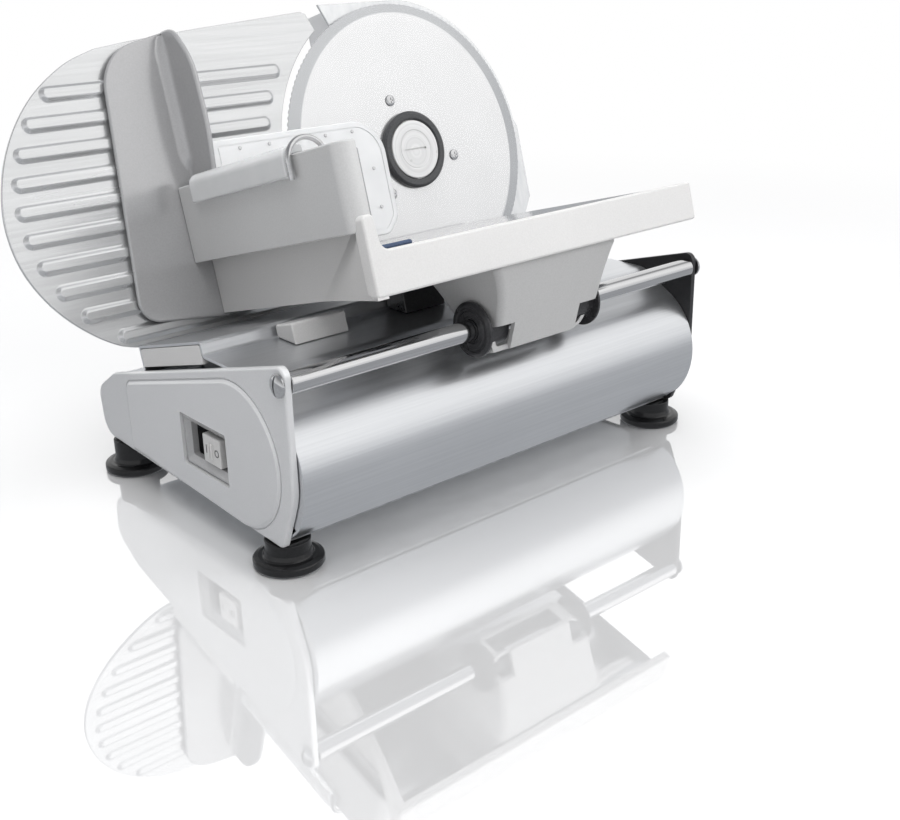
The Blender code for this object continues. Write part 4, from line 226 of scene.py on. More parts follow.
def rod(path, radius, sides=24):
    # a round bar along a path in a plane of constant b: path + r cos t along b + r sin t across both
    along = np.gradient(path, axis=0)
    along /= np.linalg.norm(along, axis=1, keepdims=True)
    side = np.array([0.0, 1.0, 0.0])
    up = np.cross(side, along)
    t = np.linspace(0, math.tau, sides, endpoint=False)
    return loft(path[:, None] + radius * (np.cos(t)[None, :, None] * side + np.sin(t)[None, :, None] * up[:, None]))


# Objects: pieces are meshes put at the origin, with their places in the mesh

def meshOf(name, shapes, place):
    points, faces, count = [], [], 0
    for spots, quads, caps in shapes:
        points.append(place(spots))
        faces += (quads + count).tolist() + [[corner + count for corner in cap] for cap in caps]
        count += len(spots)
    mesh = bpy.data.meshes.new(name)
    mesh.from_pydata(np.concatenate(points).tolist(), [], faces)
    shape = bmesh.new()
    shape.from_mesh(mesh)
    bmesh.ops.remove_doubles(shape, verts=shape.verts, dist=2e-6)
    bmesh.ops.recalc_face_normals(shape, faces=shape.faces)
    shape.to_mesh(mesh)
    shape.free()
    return mesh


def newObject(name, place, *shapes):
    piece = bpy.data.objects.new(name, meshOf(name, shapes, place))
    bpy.context.scene.collection.objects.link(piece)
    return piece


def combined(piece, place, shapes, operation):
    tool = newObject("tool", place, *shapes)
    modifier = piece.modifiers.new("combine", "BOOLEAN")
    modifier.operation, modifier.object = operation, tool
    graph = bpy.context.evaluated_depsgraph_get()
    piece.data = bpy.data.meshes.new_from_object(piece.evaluated_get(graph))
    piece.modifiers.clear()
    bpy.data.objects.remove(tool)


def cut(piece, place, *shapes):
    combined(piece, place, shapes, "DIFFERENCE")


def join(piece, place, *shapes):
    combined(piece, place, shapes, "UNION")


def dressed(piece, finish, body, *nodes, sharp=32.0):  # its finish, its body and the CAD nodes it stands for
    piece.data.materials.clear()
    piece.data.materials.append(finishes[finish])
    piece.data.shade_smooth()
    piece.data.set_sharp_from_angle(angle=math.radians(sharp))
    weighted = piece.modifiers.new("weighted", "WEIGHTED_NORMAL")
    weighted.keep_sharp = True
    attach(piece, body)
    if nodes:
        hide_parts(*nodes)


# Finishes: a fine grain with its own stretch, slow smudges, and a small bump from the grain

finishValues = {  # grain and smudge are noise scales to the metre, and streak stretches the smudges
    "skinSteel": dict(slot="brushed_steel", dark=(0.74, 0.752, 0.77), light=(0.785, 0.797, 0.815), metal=0.92,
                      rough=(0.27, 0.34), grain=(12, 900, 900), bump=0.05, smudge=14),
    "fenceSteel": dict(slot="brushed_steel", dark=(0.78, 0.785, 0.79), light=(0.84, 0.845, 0.85), metal=0.80,
                       rough=(0.18, 0.32), grain=(14, 700, 700), bump=0.04, smudge=16, streak=(0.25, 3, 3),
                       stain=0.13),
    "polishedSteel": dict(slot="bright_steel", dark=(0.64, 0.64, 0.645), light=(0.72, 0.72, 0.725), metal=1.0,
                          rough=(0.07, 0.13), grain=(8, 500, 500), bump=0.02, smudge=20),
    "guardSteel": dict(slot="bright_steel", dark=(0.70, 0.71, 0.72), light=(0.78, 0.785, 0.79), metal=0.6,
                       rough=(0.20, 0.30), grain=(300, 300, 10), bump=0.03, smudge=18),
    "zincSteel": dict(slot="zinc_steel", dark=(0.42, 0.43, 0.44), light=(0.60, 0.61, 0.62), metal=1.0,
                      rough=(0.35, 0.55), grain=160, bump=0.06, smudge=60),
    "silverPaint": dict(slot="silver_paint", dark=(0.74, 0.743, 0.75), light=(0.78, 0.783, 0.79), metal=0.40,
                        rough=(0.28, 0.38), grain=2200, bump=0.03, smudge=12),
    "blackPaint": dict(slot="black_paint", dark=(0.018, 0.018, 0.020), light=(0.032, 0.032, 0.034), metal=0.0,
                       rough=(0.28, 0.42), grain=1500, bump=0.05, smudge=20),
    "footRubber": dict(slot="black_rubber", dark=0.006, light=(0.013, 0.013, 0.014), metal=0.0, rough=(0.14, 0.24),
                       grain=900, bump=0.06, smudge=40),
    "bandPlastic": dict(slot="pale_plastic", dark=(0.61, 0.605, 0.60), light=(0.65, 0.645, 0.64), metal=0.0,
                        rough=(0.26, 0.34), grain=1400, bump=0.03, smudge=10),
    "boxPlastic": dict(slot="pale_plastic", dark=0.56, light=0.60, metal=0.25, rough=(0.18, 0.26), grain=1400,
                       bump=0.02, smudge=10),
    "wallPlastic": dict(slot="grey_plastic", dark=(0.43, 0.43, 0.435), light=(0.46, 0.46, 0.465), metal=0.45,
                        rough=(0.13, 0.19), grain=1200, bump=0.015, smudge=9),
    "framePlastic": dict(slot="pale_plastic", dark=(0.40, 0.40, 0.405), light=(0.44, 0.44, 0.445), metal=0.2,
                         rough=(0.20, 0.28), grain=1300, bump=0.02, smudge=30),
    "legPlastic": dict(slot="grey_plastic", dark=0.43, light=0.47, metal=0.0, rough=(0.24, 0.34), grain=1300,
                       bump=0.03, smudge=12),
    "darkPlastic": dict(slot="dark_plastic", dark=(0.022, 0.022, 0.024), light=(0.040, 0.040, 0.043), metal=0.0,
                        rough=(0.22, 0.36), grain=1100, bump=0.05, smudge=30),
    "ringPlastic": dict(slot="dark_plastic", dark=(0.040, 0.041, 0.044), light=(0.062, 0.063, 0.066), metal=0.0,
                        rough=(0.25, 0.36), grain=1100, bump=0.03, smudge=30),
    "bluePlastic": dict(slot="dark_plastic", dark=(0.03, 0.05, 0.10), light=(0.05, 0.08, 0.15), metal=0.0,
                        rough=(0.15, 0.25), grain=900, bump=0.03, smudge=30),
    "gearNylon": dict(slot="nylon", dark=(0.62, 0.60, 0.52), light=(0.74, 0.72, 0.64), metal=0.0,
                      rough=(0.42, 0.55), grain=300, bump=0.05, smudge=40),
    "bushBronze": dict(slot="bronze", dark=(0.46, 0.32, 0.17), light=(0.62, 0.44, 0.25), metal=1.0,
                       rough=(0.35, 0.50), grain=1500, bump=0.08, smudge=50),
    "woundCopper": dict(slot="copper", dark=(0.55, 0.26, 0.14), light=(0.80, 0.46, 0.30), metal=1.0,
                        rough=(0.30, 0.42), grain=(60, 60, 1800), bump=0.25, smudge=50),
}
slotOf = {name: values["slot"] for name, values in finishValues.items()}


def addNode(tree, kind, inputs=None, **settings):  # an input is a number, a colour or another node's socket
    made = tree.nodes.new("ShaderNode" + kind)
    for key, value in settings.items():
        setattr(made, key, value)
    for key, value in (inputs or {}).items():
        if isinstance(value, bpy.types.NodeSocket):
            tree.links.new(value, made.inputs[key])
        else:
            made.inputs[key].default_value = value
    return made


def triple(value):  # a tone or a grain given as one number is the same three times
    return (value,) * 3 if isinstance(value, (int, float)) else value


def spread(tree, value, low, high, toLow=0.0, toHigh=1.0, **settings):
    inputs = {"Value": value, "From Min": low, "From Max": high, "To Min": toLow, "To Max": toHigh}
    return addNode(tree, "MapRange", inputs, **settings).outputs["Result"]


def blended(tree, share, first, second):  # from the first colour to the second
    colours = [tone if isinstance(tone, bpy.types.NodeSocket) else (*triple(tone), 1) for tone in (first, second)]
    return addNode(tree, "Mix", {"Factor": share, "A": colours[0], "B": colours[1]},
                   data_type="RGBA").outputs["Result"]


def noise(tree, place, scale, detail):
    return addNode(tree, "TexNoise", {"Vector": place, "Scale": scale, "Detail": detail}).outputs["Fac"]


def startFinish(name):
    material = bpy.data.materials.new(name)
    material.use_nodes = True
    tree = material.node_tree
    place = addNode(tree, "TexCoord").outputs["Object"]
    return material, tree, tree.nodes["Principled BSDF"], place


def wireFinish(tree, shader, grain, smudge, values, reach=None):
    # grain picks between the dark and the light tone, and smudges dull both the tone and the shine
    tint = blended(tree, spread(tree, grain, 0.35, 0.65), values["dark"], values["light"])
    if "rim" in values:
        tint = blended(tree, spread(tree, reach, values["rimFrom"], values["rimTo"]), tint, values["rim"])
    worn = spread(tree, smudge, 0.1, 0.9, 1 - 2 * values.get("stain", 0.04), 1.0)
    worn = addNode(tree, "VectorMath", {0: tint, "Scale": worn}, operation="SCALE").outputs["Vector"]
    rough = spread(tree, smudge, 0.1, 0.9, *values["rough"])
    bump = addNode(tree, "Bump", {"Height": grain, "Strength": values["bump"], "Distance": 0.001})
    tree.links.new(worn, shader.inputs["Base Color"])
    tree.links.new(rough, shader.inputs["Roughness"])
    tree.links.new(bump.outputs["Normal"], shader.inputs["Normal"])
    shader.inputs["Metallic"].default_value = values["metal"]


def plainFinish(name, values):
    material, tree, shader, place = startFinish(name)
    stretched = addNode(tree, "Mapping", {"Vector": place, "Scale": triple(values["grain"])}).outputs["Vector"]
    drawn = addNode(tree, "Mapping", {"Vector": place, "Scale": values.get("streak", (1, 1, 1))}).outputs["Vector"]
    wireFinish(tree, shader, noise(tree, stretched, 1.0, 4.0), noise(tree, drawn, values["smudge"], 3.0), values)
    return material


bladeFinish = dict(dark=(0.78, 0.78, 0.785), light=(0.82, 0.82, 0.825), metal=0.75, rough=(0.20, 0.28),
                   bump=0.004, rings=2600, wear=30, rimFrom=0.0856, rimTo=0.0866, rim=(0.52, 0.53, 0.54))


def turnedFinish(name, values, slot):
    # rings round the hub: the distance from the blade's axis drives a one-dimensional noise
    material, tree, shader, place = startFinish(name)
    turn = addNode(tree, "Mapping", {"Vector": place, "Location": tuple(-hub / 1000)}).outputs["Vector"]
    level = addNode(tree, "Mapping", {"Vector": turn, "Rotation": (rake, 0, 0), "Scale": (1, 0, 1)})
    reach = addNode(tree, "VectorMath", {"Vector": level.outputs["Vector"]}, operation="LENGTH").outputs["Value"]
    rings = addNode(tree, "TexNoise", {"W": reach, "Scale": values["rings"], "Detail": 3.0},
                    noise_dimensions="1D").outputs["Fac"]
    wireFinish(tree, shader, rings, noise(tree, place, values["wear"], 3.0), values, reach)
    slotOf[name] = slot
    return material


discFinish = dict(dark=(0.60, 0.60, 0.60), light=(0.72, 0.72, 0.72), metal=0.1, rough=(0.24, 0.34),
                  bump=0.10, rings=420, wear=40)
clearValues = dict(tint=(0.95, 0.955, 0.96), rough=0.05, ior=1.49, haze=(0.84, 0.85, 0.86), cloud=60, bump=0.02)


def clearFinish(name, values, mixShare):
    # polished plastic with a little haze in it, thicker where a slow cloud says
    material, tree, shader, place = startFinish(name)
    cloud = noise(tree, place, values["cloud"], 2.0)
    bump = addNode(tree, "Bump", {"Height": cloud, "Strength": values["bump"], "Distance": 0.001})
    tree.links.new(blended(tree, cloud, values["tint"], values["haze"]), shader.inputs["Base Color"])
    tree.links.new(bump.outputs["Normal"], shader.inputs["Normal"])
    shader.inputs["Roughness"].default_value = values["rough"]
    shader.inputs["IOR"].default_value = values["ior"]
    shader.inputs["Transmission Weight"].default_value = mixShare
    slotOf[name] = "clear_plastic"
    return material


finishes = {name: plainFinish(name, values) for name, values in finishValues.items()}
finishes["bladeSteel"] = turnedFinish("bladeSteel", bladeFinish, "bright_steel")
finishes["discPlastic"] = turnedFinish("discPlastic", discFinish, "pale_plastic")
finishes["clearPlastic"] = clearFinish("clearPlastic", clearValues, 0.50)
finishes["platePlastic"] = clearFinish("platePlastic", clearValues, 0.30)

carriedFinish = {  # CAD nodes that are shown as they are
    "zincSteel": ("bottom_plate", "motor_can", "motor_stator", "motor_bracket", "fence_rod_bracket",
                  "fence_bracket", "fence_screw", "guard_screw_upper", "guard_screw_lower"),
    "polishedSteel": ("blade_axle", "worm_shaft", "fence_rod_left", "fence_rod_right", "thickness_screw"),
    "bandPlastic": ("ridge_cap_left", "ridge_cap_right"),
    "darkPlastic": ("switch_body", "motor_end_cap", "knob_bush"),
    "gearNylon": ("terminal_block", "blade_gear"),
    "bushBronze": ("blade_bush", "worm_top_bearing"),
    "woundCopper": ("motor_rotor",),
}
for finish, nodes in carriedFinish.items():
    for node in nodes:
        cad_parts[node].data.materials.clear()
        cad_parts[node].data.materials.append(finishes[finish])
print("finishes and carried-over nodes done")

# Base: the skin, the two end plates, the feet and the rod

base = dict(half=150.0, plateWall=4.0, skinEnd=145.7, skinWall=1.5, frontY=-105.8, backY=101.0, plateTopC=-96.0,
            toe=(-93.0, 14.8), heel=(98.0, 20.3), backZ=49.0, shoulderY=78.0, chinZ=46.0, deckZ=98.2, stripC=-97.0,
            ridgeFrontB=-80.0, ridgeBackB=-6.0, ridgeTopC=-82.0, stripBackB=27.0)
skin = dict(bulge=(-70.0, 51.0, 40.0), bulgeTurn=(222, 115), flangeTurn=(220, 118), flange=6.0, flangeWall=1.3,
            deckFrontY=-68.3, toeInset=2.12, heelInset=4.0, backInset=1.0, lipLift=2.0, toeLip=3.5, heelLip=7.5)
worm = dict(a=43.4, b=14.0, hole=6.0)
slide = dict(a=-150.0, length=40.0, slotFront=0.9, slotBack=21.4, axisC=-114.0, hole=7.3)
gland = dict(x=100.0, z=38.0, hole=6.3, bore=3.6, neck=6.0, flange=9.5, collar=4.6, depth=10.0)


def floorZ(y):  # the lower edge of the end plates
    (y0, z0), (y1, z1) = base["toe"], base["heel"]
    return z0 + (y - y0) * (z1 - z0) / (y1 - y0)


def lipSpot(y):  # on the skin's turned-in lower edge
    return y, floorZ(y) + skin["lipLift"] + gap


def skinLine():
    toeY = base["toe"][0] + skin["toeInset"]
    heelY, backY = base["backY"] - skin["heelInset"], base["backY"] - skin["backInset"]
    front = arc(*skin["bulge"], *skin["bulgeTurn"], 2.5)
    toe = rounded([(*lipSpot(toeY + skin["toeLip"]), 0), (*lipSpot(toeY), 3.0), (*front[0], 0)], closed=False)
    ridgeDrop = (base["deckZ"] - hubInBase[2]) * math.sin(rake)
    ridgeFootY = hubInBase[1] + (base["ridgeFrontB"] + ridgeDrop) / math.cos(rake)
    ridgeBack, ridgeTop, strip = base["ridgeBackB"], base["ridgeTopC"], base["stripC"]
    top = rounded([
        (*front[-1], 0), (skin["deckFrontY"], base["deckZ"], 15.0), (ridgeFootY, base["deckZ"], 2.0),
        (*rakedYZ(base["ridgeFrontB"], ridgeTop), 2.0), (*rakedYZ(ridgeBack, ridgeTop), 2.0),
        (*rakedYZ(ridgeBack, strip), 2.0), (*rakedYZ(base["stripBackB"], strip), 10.0),
        (backY, base["backZ"] - 1.0, 10.0), (*lipSpot(heelY), 5.0), (*lipSpot(heelY - skin["heelLip"]), 0),
    ], closed=False)
    return np.concatenate([toe[:-1], front, top[1:]])


def makeSkin():
    end = base["skinEnd"]
    body = newObject("skin", based, slab(thickened(skinLine(), base["skinWall"]), "x", -end, end, 0.3))
    y, z, radius = skin["bulge"]
    flange = thickened(arc(y, z, radius - 0.5, *skin["flangeTurn"], 2.5), skin["flange"])
    for side in (-1, 1):  # a bent flange behind each end plate's bulging front
        ends = sorted((side * (end - 0.1), side * (end - 0.1 - skin["flangeWall"])))
        join(body, based, block(flange, "x", *ends))
    half = slide["length"] / 2 + 0.5
    slot = roundBox(slide["a"] - half, slide["a"] + half, slide["slotFront"], slide["slotBack"], 0.3)
    low, high = base["stripC"] - 4.0, base["stripC"] + 3.0
    cut(body, raked, bore("z", (worm["a"], worm["b"]), worm["hole"], low, high), block(slot, "z", low, high),
        bore("y", (slide["a"], slide["axisC"]), slide["hole"], 50.0, 64.0))
    cut(body, based, bore("y", (gland["x"], gland["z"]), gland["hole"], base["backY"] - 11.0, base["backY"] + 2.0))
    dressed(body, "skinSteel", "base", "base_skin")


panel = dict(y=-57.0, z=55.0, radius=39.0, backY=62.0, backRadius=7.0, raised=1.0, slope=2.0, edgeLift=2.2,
             groove=((-1.5, 0.8), (-0.5, -0.8), (0.6, -0.8), (1.2, 0.8)))
rodValues = dict(y=-101.6, z=103.9, radius=5.5, head=6.0, dome=3.2, slot=1.2, slotFloor=1.6, shank=2.0, reach=12.0)
switch = dict(y=-24.5, z=47.8, halfLength=22.8, halfHeight=14.5, windowIn=(4.3, 4.9), sliderStart=5.0,
              sliderLength=17.0, sliderHalfHeight=8.0, sliderFront=-149.4, sliderBack=-135.7, ribs=(7.2, 9.8))


def plateLine():
    front, shoulder = (heightOn(base["plateTopC"], base[key]) for key in ("frontY", "shoulderY"))
    return rounded([(base["frontY"], front, 5.0), (base["frontY"], base["chinZ"], 35.0), (*base["toe"], 4.0),
                    (*base["heel"], 12.0), (base["backY"], base["backZ"], 12.0), (base["shoulderY"], shoulder, 10.0)],
                   step=3.0)


def panelLine():
    front = arc(panel["y"], panel["z"], panel["radius"], 270.0, 90.0 - math.degrees(rake), 2.5)
    topY, topZ = front[-1]
    backTop = topZ - (panel["backY"] - topY) * math.tan(rake)
    back = rounded([(topY, topZ, 0), (panel["backY"], backTop, panel["backRadius"]),
                    (panel["backY"], floorZ(panel["backY"]) + panel["edgeLift"], 1.5),
                    (panel["y"], panel["z"] - panel["radius"], 0)], closed=False)
    return np.concatenate([front, back[1:-1]])


def switchBox(u, v, radius):  # the switch's outline, grown by u along and v up
    return roundBox(switch["y"] - switch["halfLength"] - u, switch["y"] + switch["halfLength"] + u,
                    switch["z"] - switch["halfHeight"] - v, switch["z"] + switch["halfHeight"] + v, radius)


def makeEndPlates():
    half, inner = base["half"], base["half"] - base["plateWall"]
    cutFrom, cutTo = inner - 6.0, half + 6.0
    screw = (rodValues["y"], rodValues["z"]), rodValues["shank"] + gap
    left = newObject("leftPlate", based, slab(plateLine(), "x", -half, -inner, 1.3, 0.3))
    outline = tidyLine(panelLine())
    cut(left, based, loft([standing("x", drawnIn(outline, inset), -half - out) for inset, out in panel["groove"]],
                          hoop=True))
    t = np.linspace(0, 1, 9)  # the raised panel's edge climbs as 3t^2 - 2t^3
    lift = panel["raised"] * t * t * (3 - 2 * t)
    rings = [standing("x", outline, 2.0 - half)]
    rings += [standing("x", drawnIn(outline, panel["slope"] * s), -half - h) for s, h in zip(t, lift)]
    join(left, based, loft(rings))
    cut(left, based, block(switchBox(gap, gap, 1.0), "x", -cutTo, -cutFrom), bore("x", *screw, -cutTo, -cutFrom))
    dressed(left, "silverPaint", "base", "end_plate_left")
    right = newObject("rightPlate", based, slab(plateLine(), "x", inner, half, 0.3, 1.3))
    cut(right, based, bore("x", *screw, cutFrom, cutTo))
    dressed(right, "blackPaint", "base", "end_plate_right")


foot = dict(x=140.0, y=82.2, radius=18.5, disc=5.5, neck=12.0, recess=6.5, recessDepth=5.0, stud=4.0, studHeight=6.0)


def makeFeet():
    radius, disc, neck, stud, recess, depth = (
        foot[key] for key in ("radius", "disc", "neck", "stud", "recess", "recessDepth"))
    for side, sideName in ((-1, "left"), (1, "right")):
        for end, endName in ((-1, "front"), (1, "rear")):
            x, y = side * foot["x"], end * foot["y"]
            top = floorZ(y - neck) - gap
            studTop = top + foot["studHeight"]
            profile = rounded([
                (recess, depth, 0), (recess, 0, 0.4), (radius - 1.0, 0, 0.6), (radius, 1.2, 0.8),
                (radius, disc - 1.0, 1.2), (radius - 3.0, disc, 1.0), (neck + 1.0, disc, 1.5),
                (neck, disc + 3.0, 1.0), (neck, top, 0.5), (stud, top, 0.1), (stud, studTop - 0.5, 0.6),
                (0.0, studTop, 0)], closed=False)
            profile = np.concatenate([[(0.0, depth)], profile])
            dressed(newObject(f"foot.{endName}.{sideName}", based, turned(profile, "z", (x, y))), "footRubber",
                    "base", f"foot_{endName}_{sideName}")


def makeRod():
    y, z, radius, head, shank = (rodValues[key] for key in ("y", "z", "radius", "head", "shank"))
    end, seat = base["skinEnd"], base["half"] + gap
    deep, hole = end - rodValues["reach"], shank + gap
    half = rounded([(0, deep - gap, 0), (hole, deep - gap, 0), (hole, end, 0.1), (radius, end, 0.5), (radius, 0, 0)],
                   closed=False)
    profile = np.concatenate([half[:-1], (half * (1, -1))[::-1]])
    dressed(newObject("guideRod", based, turned(profile, "x", (y, z))), "polishedSteel", "base", "guide_rod")
    t = np.linspace(0, math.pi / 2, 12)
    dome = np.stack([head * np.cos(t), seat + 0.5 + (rodValues["dome"] - 0.5) * np.sin(t)], -1)
    profile = np.concatenate([[(0, deep), (shank, deep), (shank, seat), (head - 0.3, seat)], dome])
    slot = roundBox(y - rodValues["slot"] / 2, y + rodValues["slot"] / 2, z - 8, z + 8, 0.1)
    for side, name in ((-1, "left"), (1, "right")):
        screw = newObject(f"rodScrew.{name}", based, turned(profile * (1, side), "x", (y, z), 64))
        cut(screw, based, block(slot, "x", *sorted((side * (seat + rodValues["slotFloor"]), side * (seat + 6)))))
        dressed(screw, "polishedSteel", "base", f"rod_screw_{name}")


def makeSwitch():
    # the frame is one hoop of boxes: flange, window wall, bevelled recess, rounded lip and outer wall
    along, up = switch["windowIn"]
    steps = [(4.5, 4.5, -145.7, 1.5), (4.5, 4.5, -143.7, 1.5), (-along, -up, -143.7, 0.8),
             (-along, -up, -147.2, 0.8), (-1.9, -1.9, -149.2, 1.0), (-1.2, -1.2, -149.45, 1.0),
             (-0.5, -0.5, -149.4, 1.0), (0.0, 0.0, -149.0, 1.0), (0.0, 0.0, -145.7, 1.0)]
    rings = [standing("x", switchBox(u, v, radius), x) for u, v, x, radius in steps]
    dressed(newObject("switchFrame", based, loft(rings, hoop=True)), "framePlastic", "base", "switch_frame", sharp=28)
    z, front, half = switch["z"], switch["sliderFront"], switch["sliderHalfHeight"]
    low = switch["y"] - switch["halfLength"] + along + switch["sliderStart"]
    outline = roundBox(low, low + switch["sliderLength"], z - half, z + half, 0.8)
    slider = newObject("switchSlider", based, slab(outline, "x", front, switch["sliderBack"], 0.7, 0.2))
    join(slider, based, *[slab(roundBox(low + rib - 0.7, low + rib + 0.7, z - 4.5, z + 4.5, 0.6), "x", front - 1.4,
                               front + 1.0, 0.5, 0.0) for rib in switch["ribs"]])
    dressed(slider, "bandPlastic", "slider", "switch_slider")
    markFront, markBack = front - 0.12, front + 0.2  # a bar for on and a ring for off
    bar = slab(roundBox(low + 13.2, low + 13.9, z - 2.4, z + 2.4, 0.3), "x", markFront, markBack, 0.05, 0.0)
    ring = turned([(1.5, markFront), (2.1, markFront), (2.1, markBack), (1.5, markBack)], "x", (low + 3.2, z), 48)
    dressed(newObject("switchMarks", based, bar, ring), "ringPlastic", "slider")


stop = dict(left=-179.5, right=-144.5, front=-99.0, top=-83.0, clear=2.0)


def makeStop():
    front, back, top = stop["front"], base["ridgeFrontB"] - stop["clear"] - gap, stop["top"]
    outline = rounded([(front, top, 1.5), (back, top, 1.5), (back, deckC(back, gap), 0.3),
                       (front, deckC(front, gap), 0.3)])
    dressed(newObject("stopBlock", raked, slab(outline, "x", stop["left"], stop["right"], 1.2)), "bandPlastic",
            "base", "stop_block")


def makeGland():
    hole, neck, flange = gland["bore"], gland["neck"], gland["flange"]
    seat = base["backY"] - skin["backInset"] + gap
    deep = seat - gland["depth"]
    profile = rounded([(hole, deep, 0), (neck, deep, 0.3), (neck, seat, 0.1), (flange, seat, 0.4),
                       (flange, seat + 2.0, 0.8), (gland["collar"], seat + 3.0, 0.8), (hole, seat + 3.0, 0.2)],
                      closed=False)
    dressed(newObject("cordGland", based, turned(profile, "y", (gland["x"], gland["z"]))), "footRubber", "base",
            "cord_gland")


makeSkin()
makeEndPlates()
makeFeet()
makeRod()
makeSwitch()
makeStop()
makeGland()
print("base done")

# Blade, its hub, the guard and the housing

blade = dict(radius=95.0, half=1.0, bevel=9.0, edge=0.6, teeth=150, tooth=0.55, hollow=9.9)
bladeScrew = dict(circle=35.0, degrees=(107.5, -12.5, -132.5), head=3.6, shank=2.0, end=4.7, crossArm=1.8,
                  crossHalf=0.36, crossFloor=0.35)
hubRing = dict(outer=25.0, inner=19.5, height=3.7)
lockDisc = dict(radius=19.0, height=3.3, groove=12.3, stem=9.4, stemEnd=6.6, slotLength=18.0, slotWidth=1.4,
                slotDepth=1.0)


def bladeTeeth(t):  # the edge dips between teeth by half a cosine
    return -blade["tooth"] * (0.5 - 0.5 * np.cos(blade["teeth"] * t))


def makeBlade():
    radius, half, hollow = blade["radius"], blade["half"], blade["hollow"]
    rim, edge = radius - blade["bevel"], half - blade["edge"]
    profile = [(hollow, -half), (rim - 0.3, -half), (rim, 0.02 - half), (rim + 0.6, 0.12 - half),
               (radius - 0.4, edge - 0.1), (radius, edge), (radius, half), (radius - 1.0, half), (hollow, half)]
    dressed(newObject("blade", raked, turned(profile, "y", steps=1200, ripple=bladeTeeth)), "bladeSteel", "blade",
            "blade", sharp=25)
    face = -half - gap
    outer, inner, low = hubRing["outer"], hubRing["inner"], face - hubRing["height"]
    profile = rounded([(inner, face, 0), (outer, face, 0.1), (outer, low + 1.4, 0.5), (outer - 1.6, low, 1.2),
                       (inner + 0.8, low + 0.2, 0.6), (inner, low + 1.0, 0)], closed=False)
    dressed(newObject("hubRing", raked, turned(profile, "y", steps=144)), "ringPlastic", "blade", "hub_ring")
    head, shank, end = bladeScrew["head"], bladeScrew["shank"], bladeScrew["end"]
    profile = rounded([(0, face - 1.0, 0), (2.0, face - 1.0, 3.0), (head - 0.1, face - 0.5, 0.6), (head, face, 0.1),
                       (shank, face, 0), (shank, end, 0), (0, end, 0)], closed=False)
    m, n = bladeScrew["crossArm"], bladeScrew["crossHalf"]
    cross = np.array([(m, -n), (m, n), (n, n), (n, m), (-n, m), (-n, n), (-m, n), (-m, -n), (-n, -n), (-n, -m),
                      (n, -m), (n, -n)])
    for number, angle in enumerate(np.radians(bladeScrew["degrees"]), 1):
        place = bladeScrew["circle"] * np.array([np.cos(angle), np.sin(angle)])
        screw = newObject(f"bladeScrew.{number}", raked, turned(profile, "y", place, 48))
        cut(screw, raked, block(cross + place, "y", face - 3, face - bladeScrew["crossFloor"]))
        dressed(screw, "polishedSteel", "blade", f"blade_screw_{number}")


def makeLock():
    radius, stem, end, groove = (lockDisc[key] for key in ("radius", "stem", "stemEnd", "groove"))
    face = -blade["half"] - gap
    low = face - lockDisc["height"]
    profile = rounded([(0, low, 0), (groove - 0.3, low, 0), (groove, low + 0.25, 0.2), (groove + 0.5, low, 0.2),
                       (radius, low, 0.8), (radius, face, 0.1), (stem, face, 0), (stem, end, 0.3), (0, end, 0)],
                      closed=False)
    disc = newObject("lockDisc", raked, turned(profile, "y", steps=144))
    along, across = lockDisc["slotLength"] / 2, lockDisc["slotWidth"] / 2
    slot = roundBox(-along, along, -across, across, 0.6)
    cut(disc, raked, block(slot, "y", low - 2, low + lockDisc["slotDepth"]))
    dressed(disc, "discPlastic", "lock", "lock_disc")


guard = dict(left=-42.8, hornA=-48.7, hornC=84.5, top=97.7, radius=99.0, right=101.0, rightC=5.0, hipC=-45.0,
             front=3.0, wall=2.0, hole=39.5, screws=((0.72, 0.52), (-0.30, -0.72)), screwHole=1.9)
housing = dict(inset=3.0, front=5.3, back=36.0, wall=2.5, boss=10.0, bossFront=22.5, bore=6.3, screwBoss=4.5,
               screwDepth=10.3)


def guardLine(inset):
    right, radius, low = guard["right"] - inset, guard["radius"] - inset, base["stripC"] + gap
    left, top = guard["left"] + inset, guard["top"] - inset
    start = math.degrees(math.asin(min(1, top / radius)))
    end = math.degrees(math.acos(radius / right)) / 2
    horn = (guard["hornA"], guard["top"]) if inset == 0 else (left, top)
    return np.concatenate([[(left, low), (left, guard["hornC"] - inset), horn], arc(0, 0, radius, start, end, 2.0),
                           [(right, guard["rightC"]), (right, guard["hipC"]),
                            (base["skinEnd"] - hubInBase[0] - inset - gap, low)]])


def lowered(outline, drop):  # both feet carried straight down
    left, right = outline[0] - (0, drop), outline[-1] - (0, drop)
    return np.concatenate([[left], outline, [right]])


def baseBlock():  # what the base takes out of the tower's foot
    back, top, bend = housing["back"] + 2, base["stripC"] + gap, base["stripBackB"]
    slopeY, slopeZ = rakedYZ(bend, base["stripC"])
    drop = (slopeZ - (base["backZ"] - 1)) / (base["backY"] - 1 - slopeY)
    backTop = top - (back - bend) * math.tan(math.atan(drop) - rake)
    return block([(-back, top), (bend, top), (back, backTop), (back, top - 60), (-back, top - 60)], "x",
                 guard["left"] - 3, guard["right"] + 3)


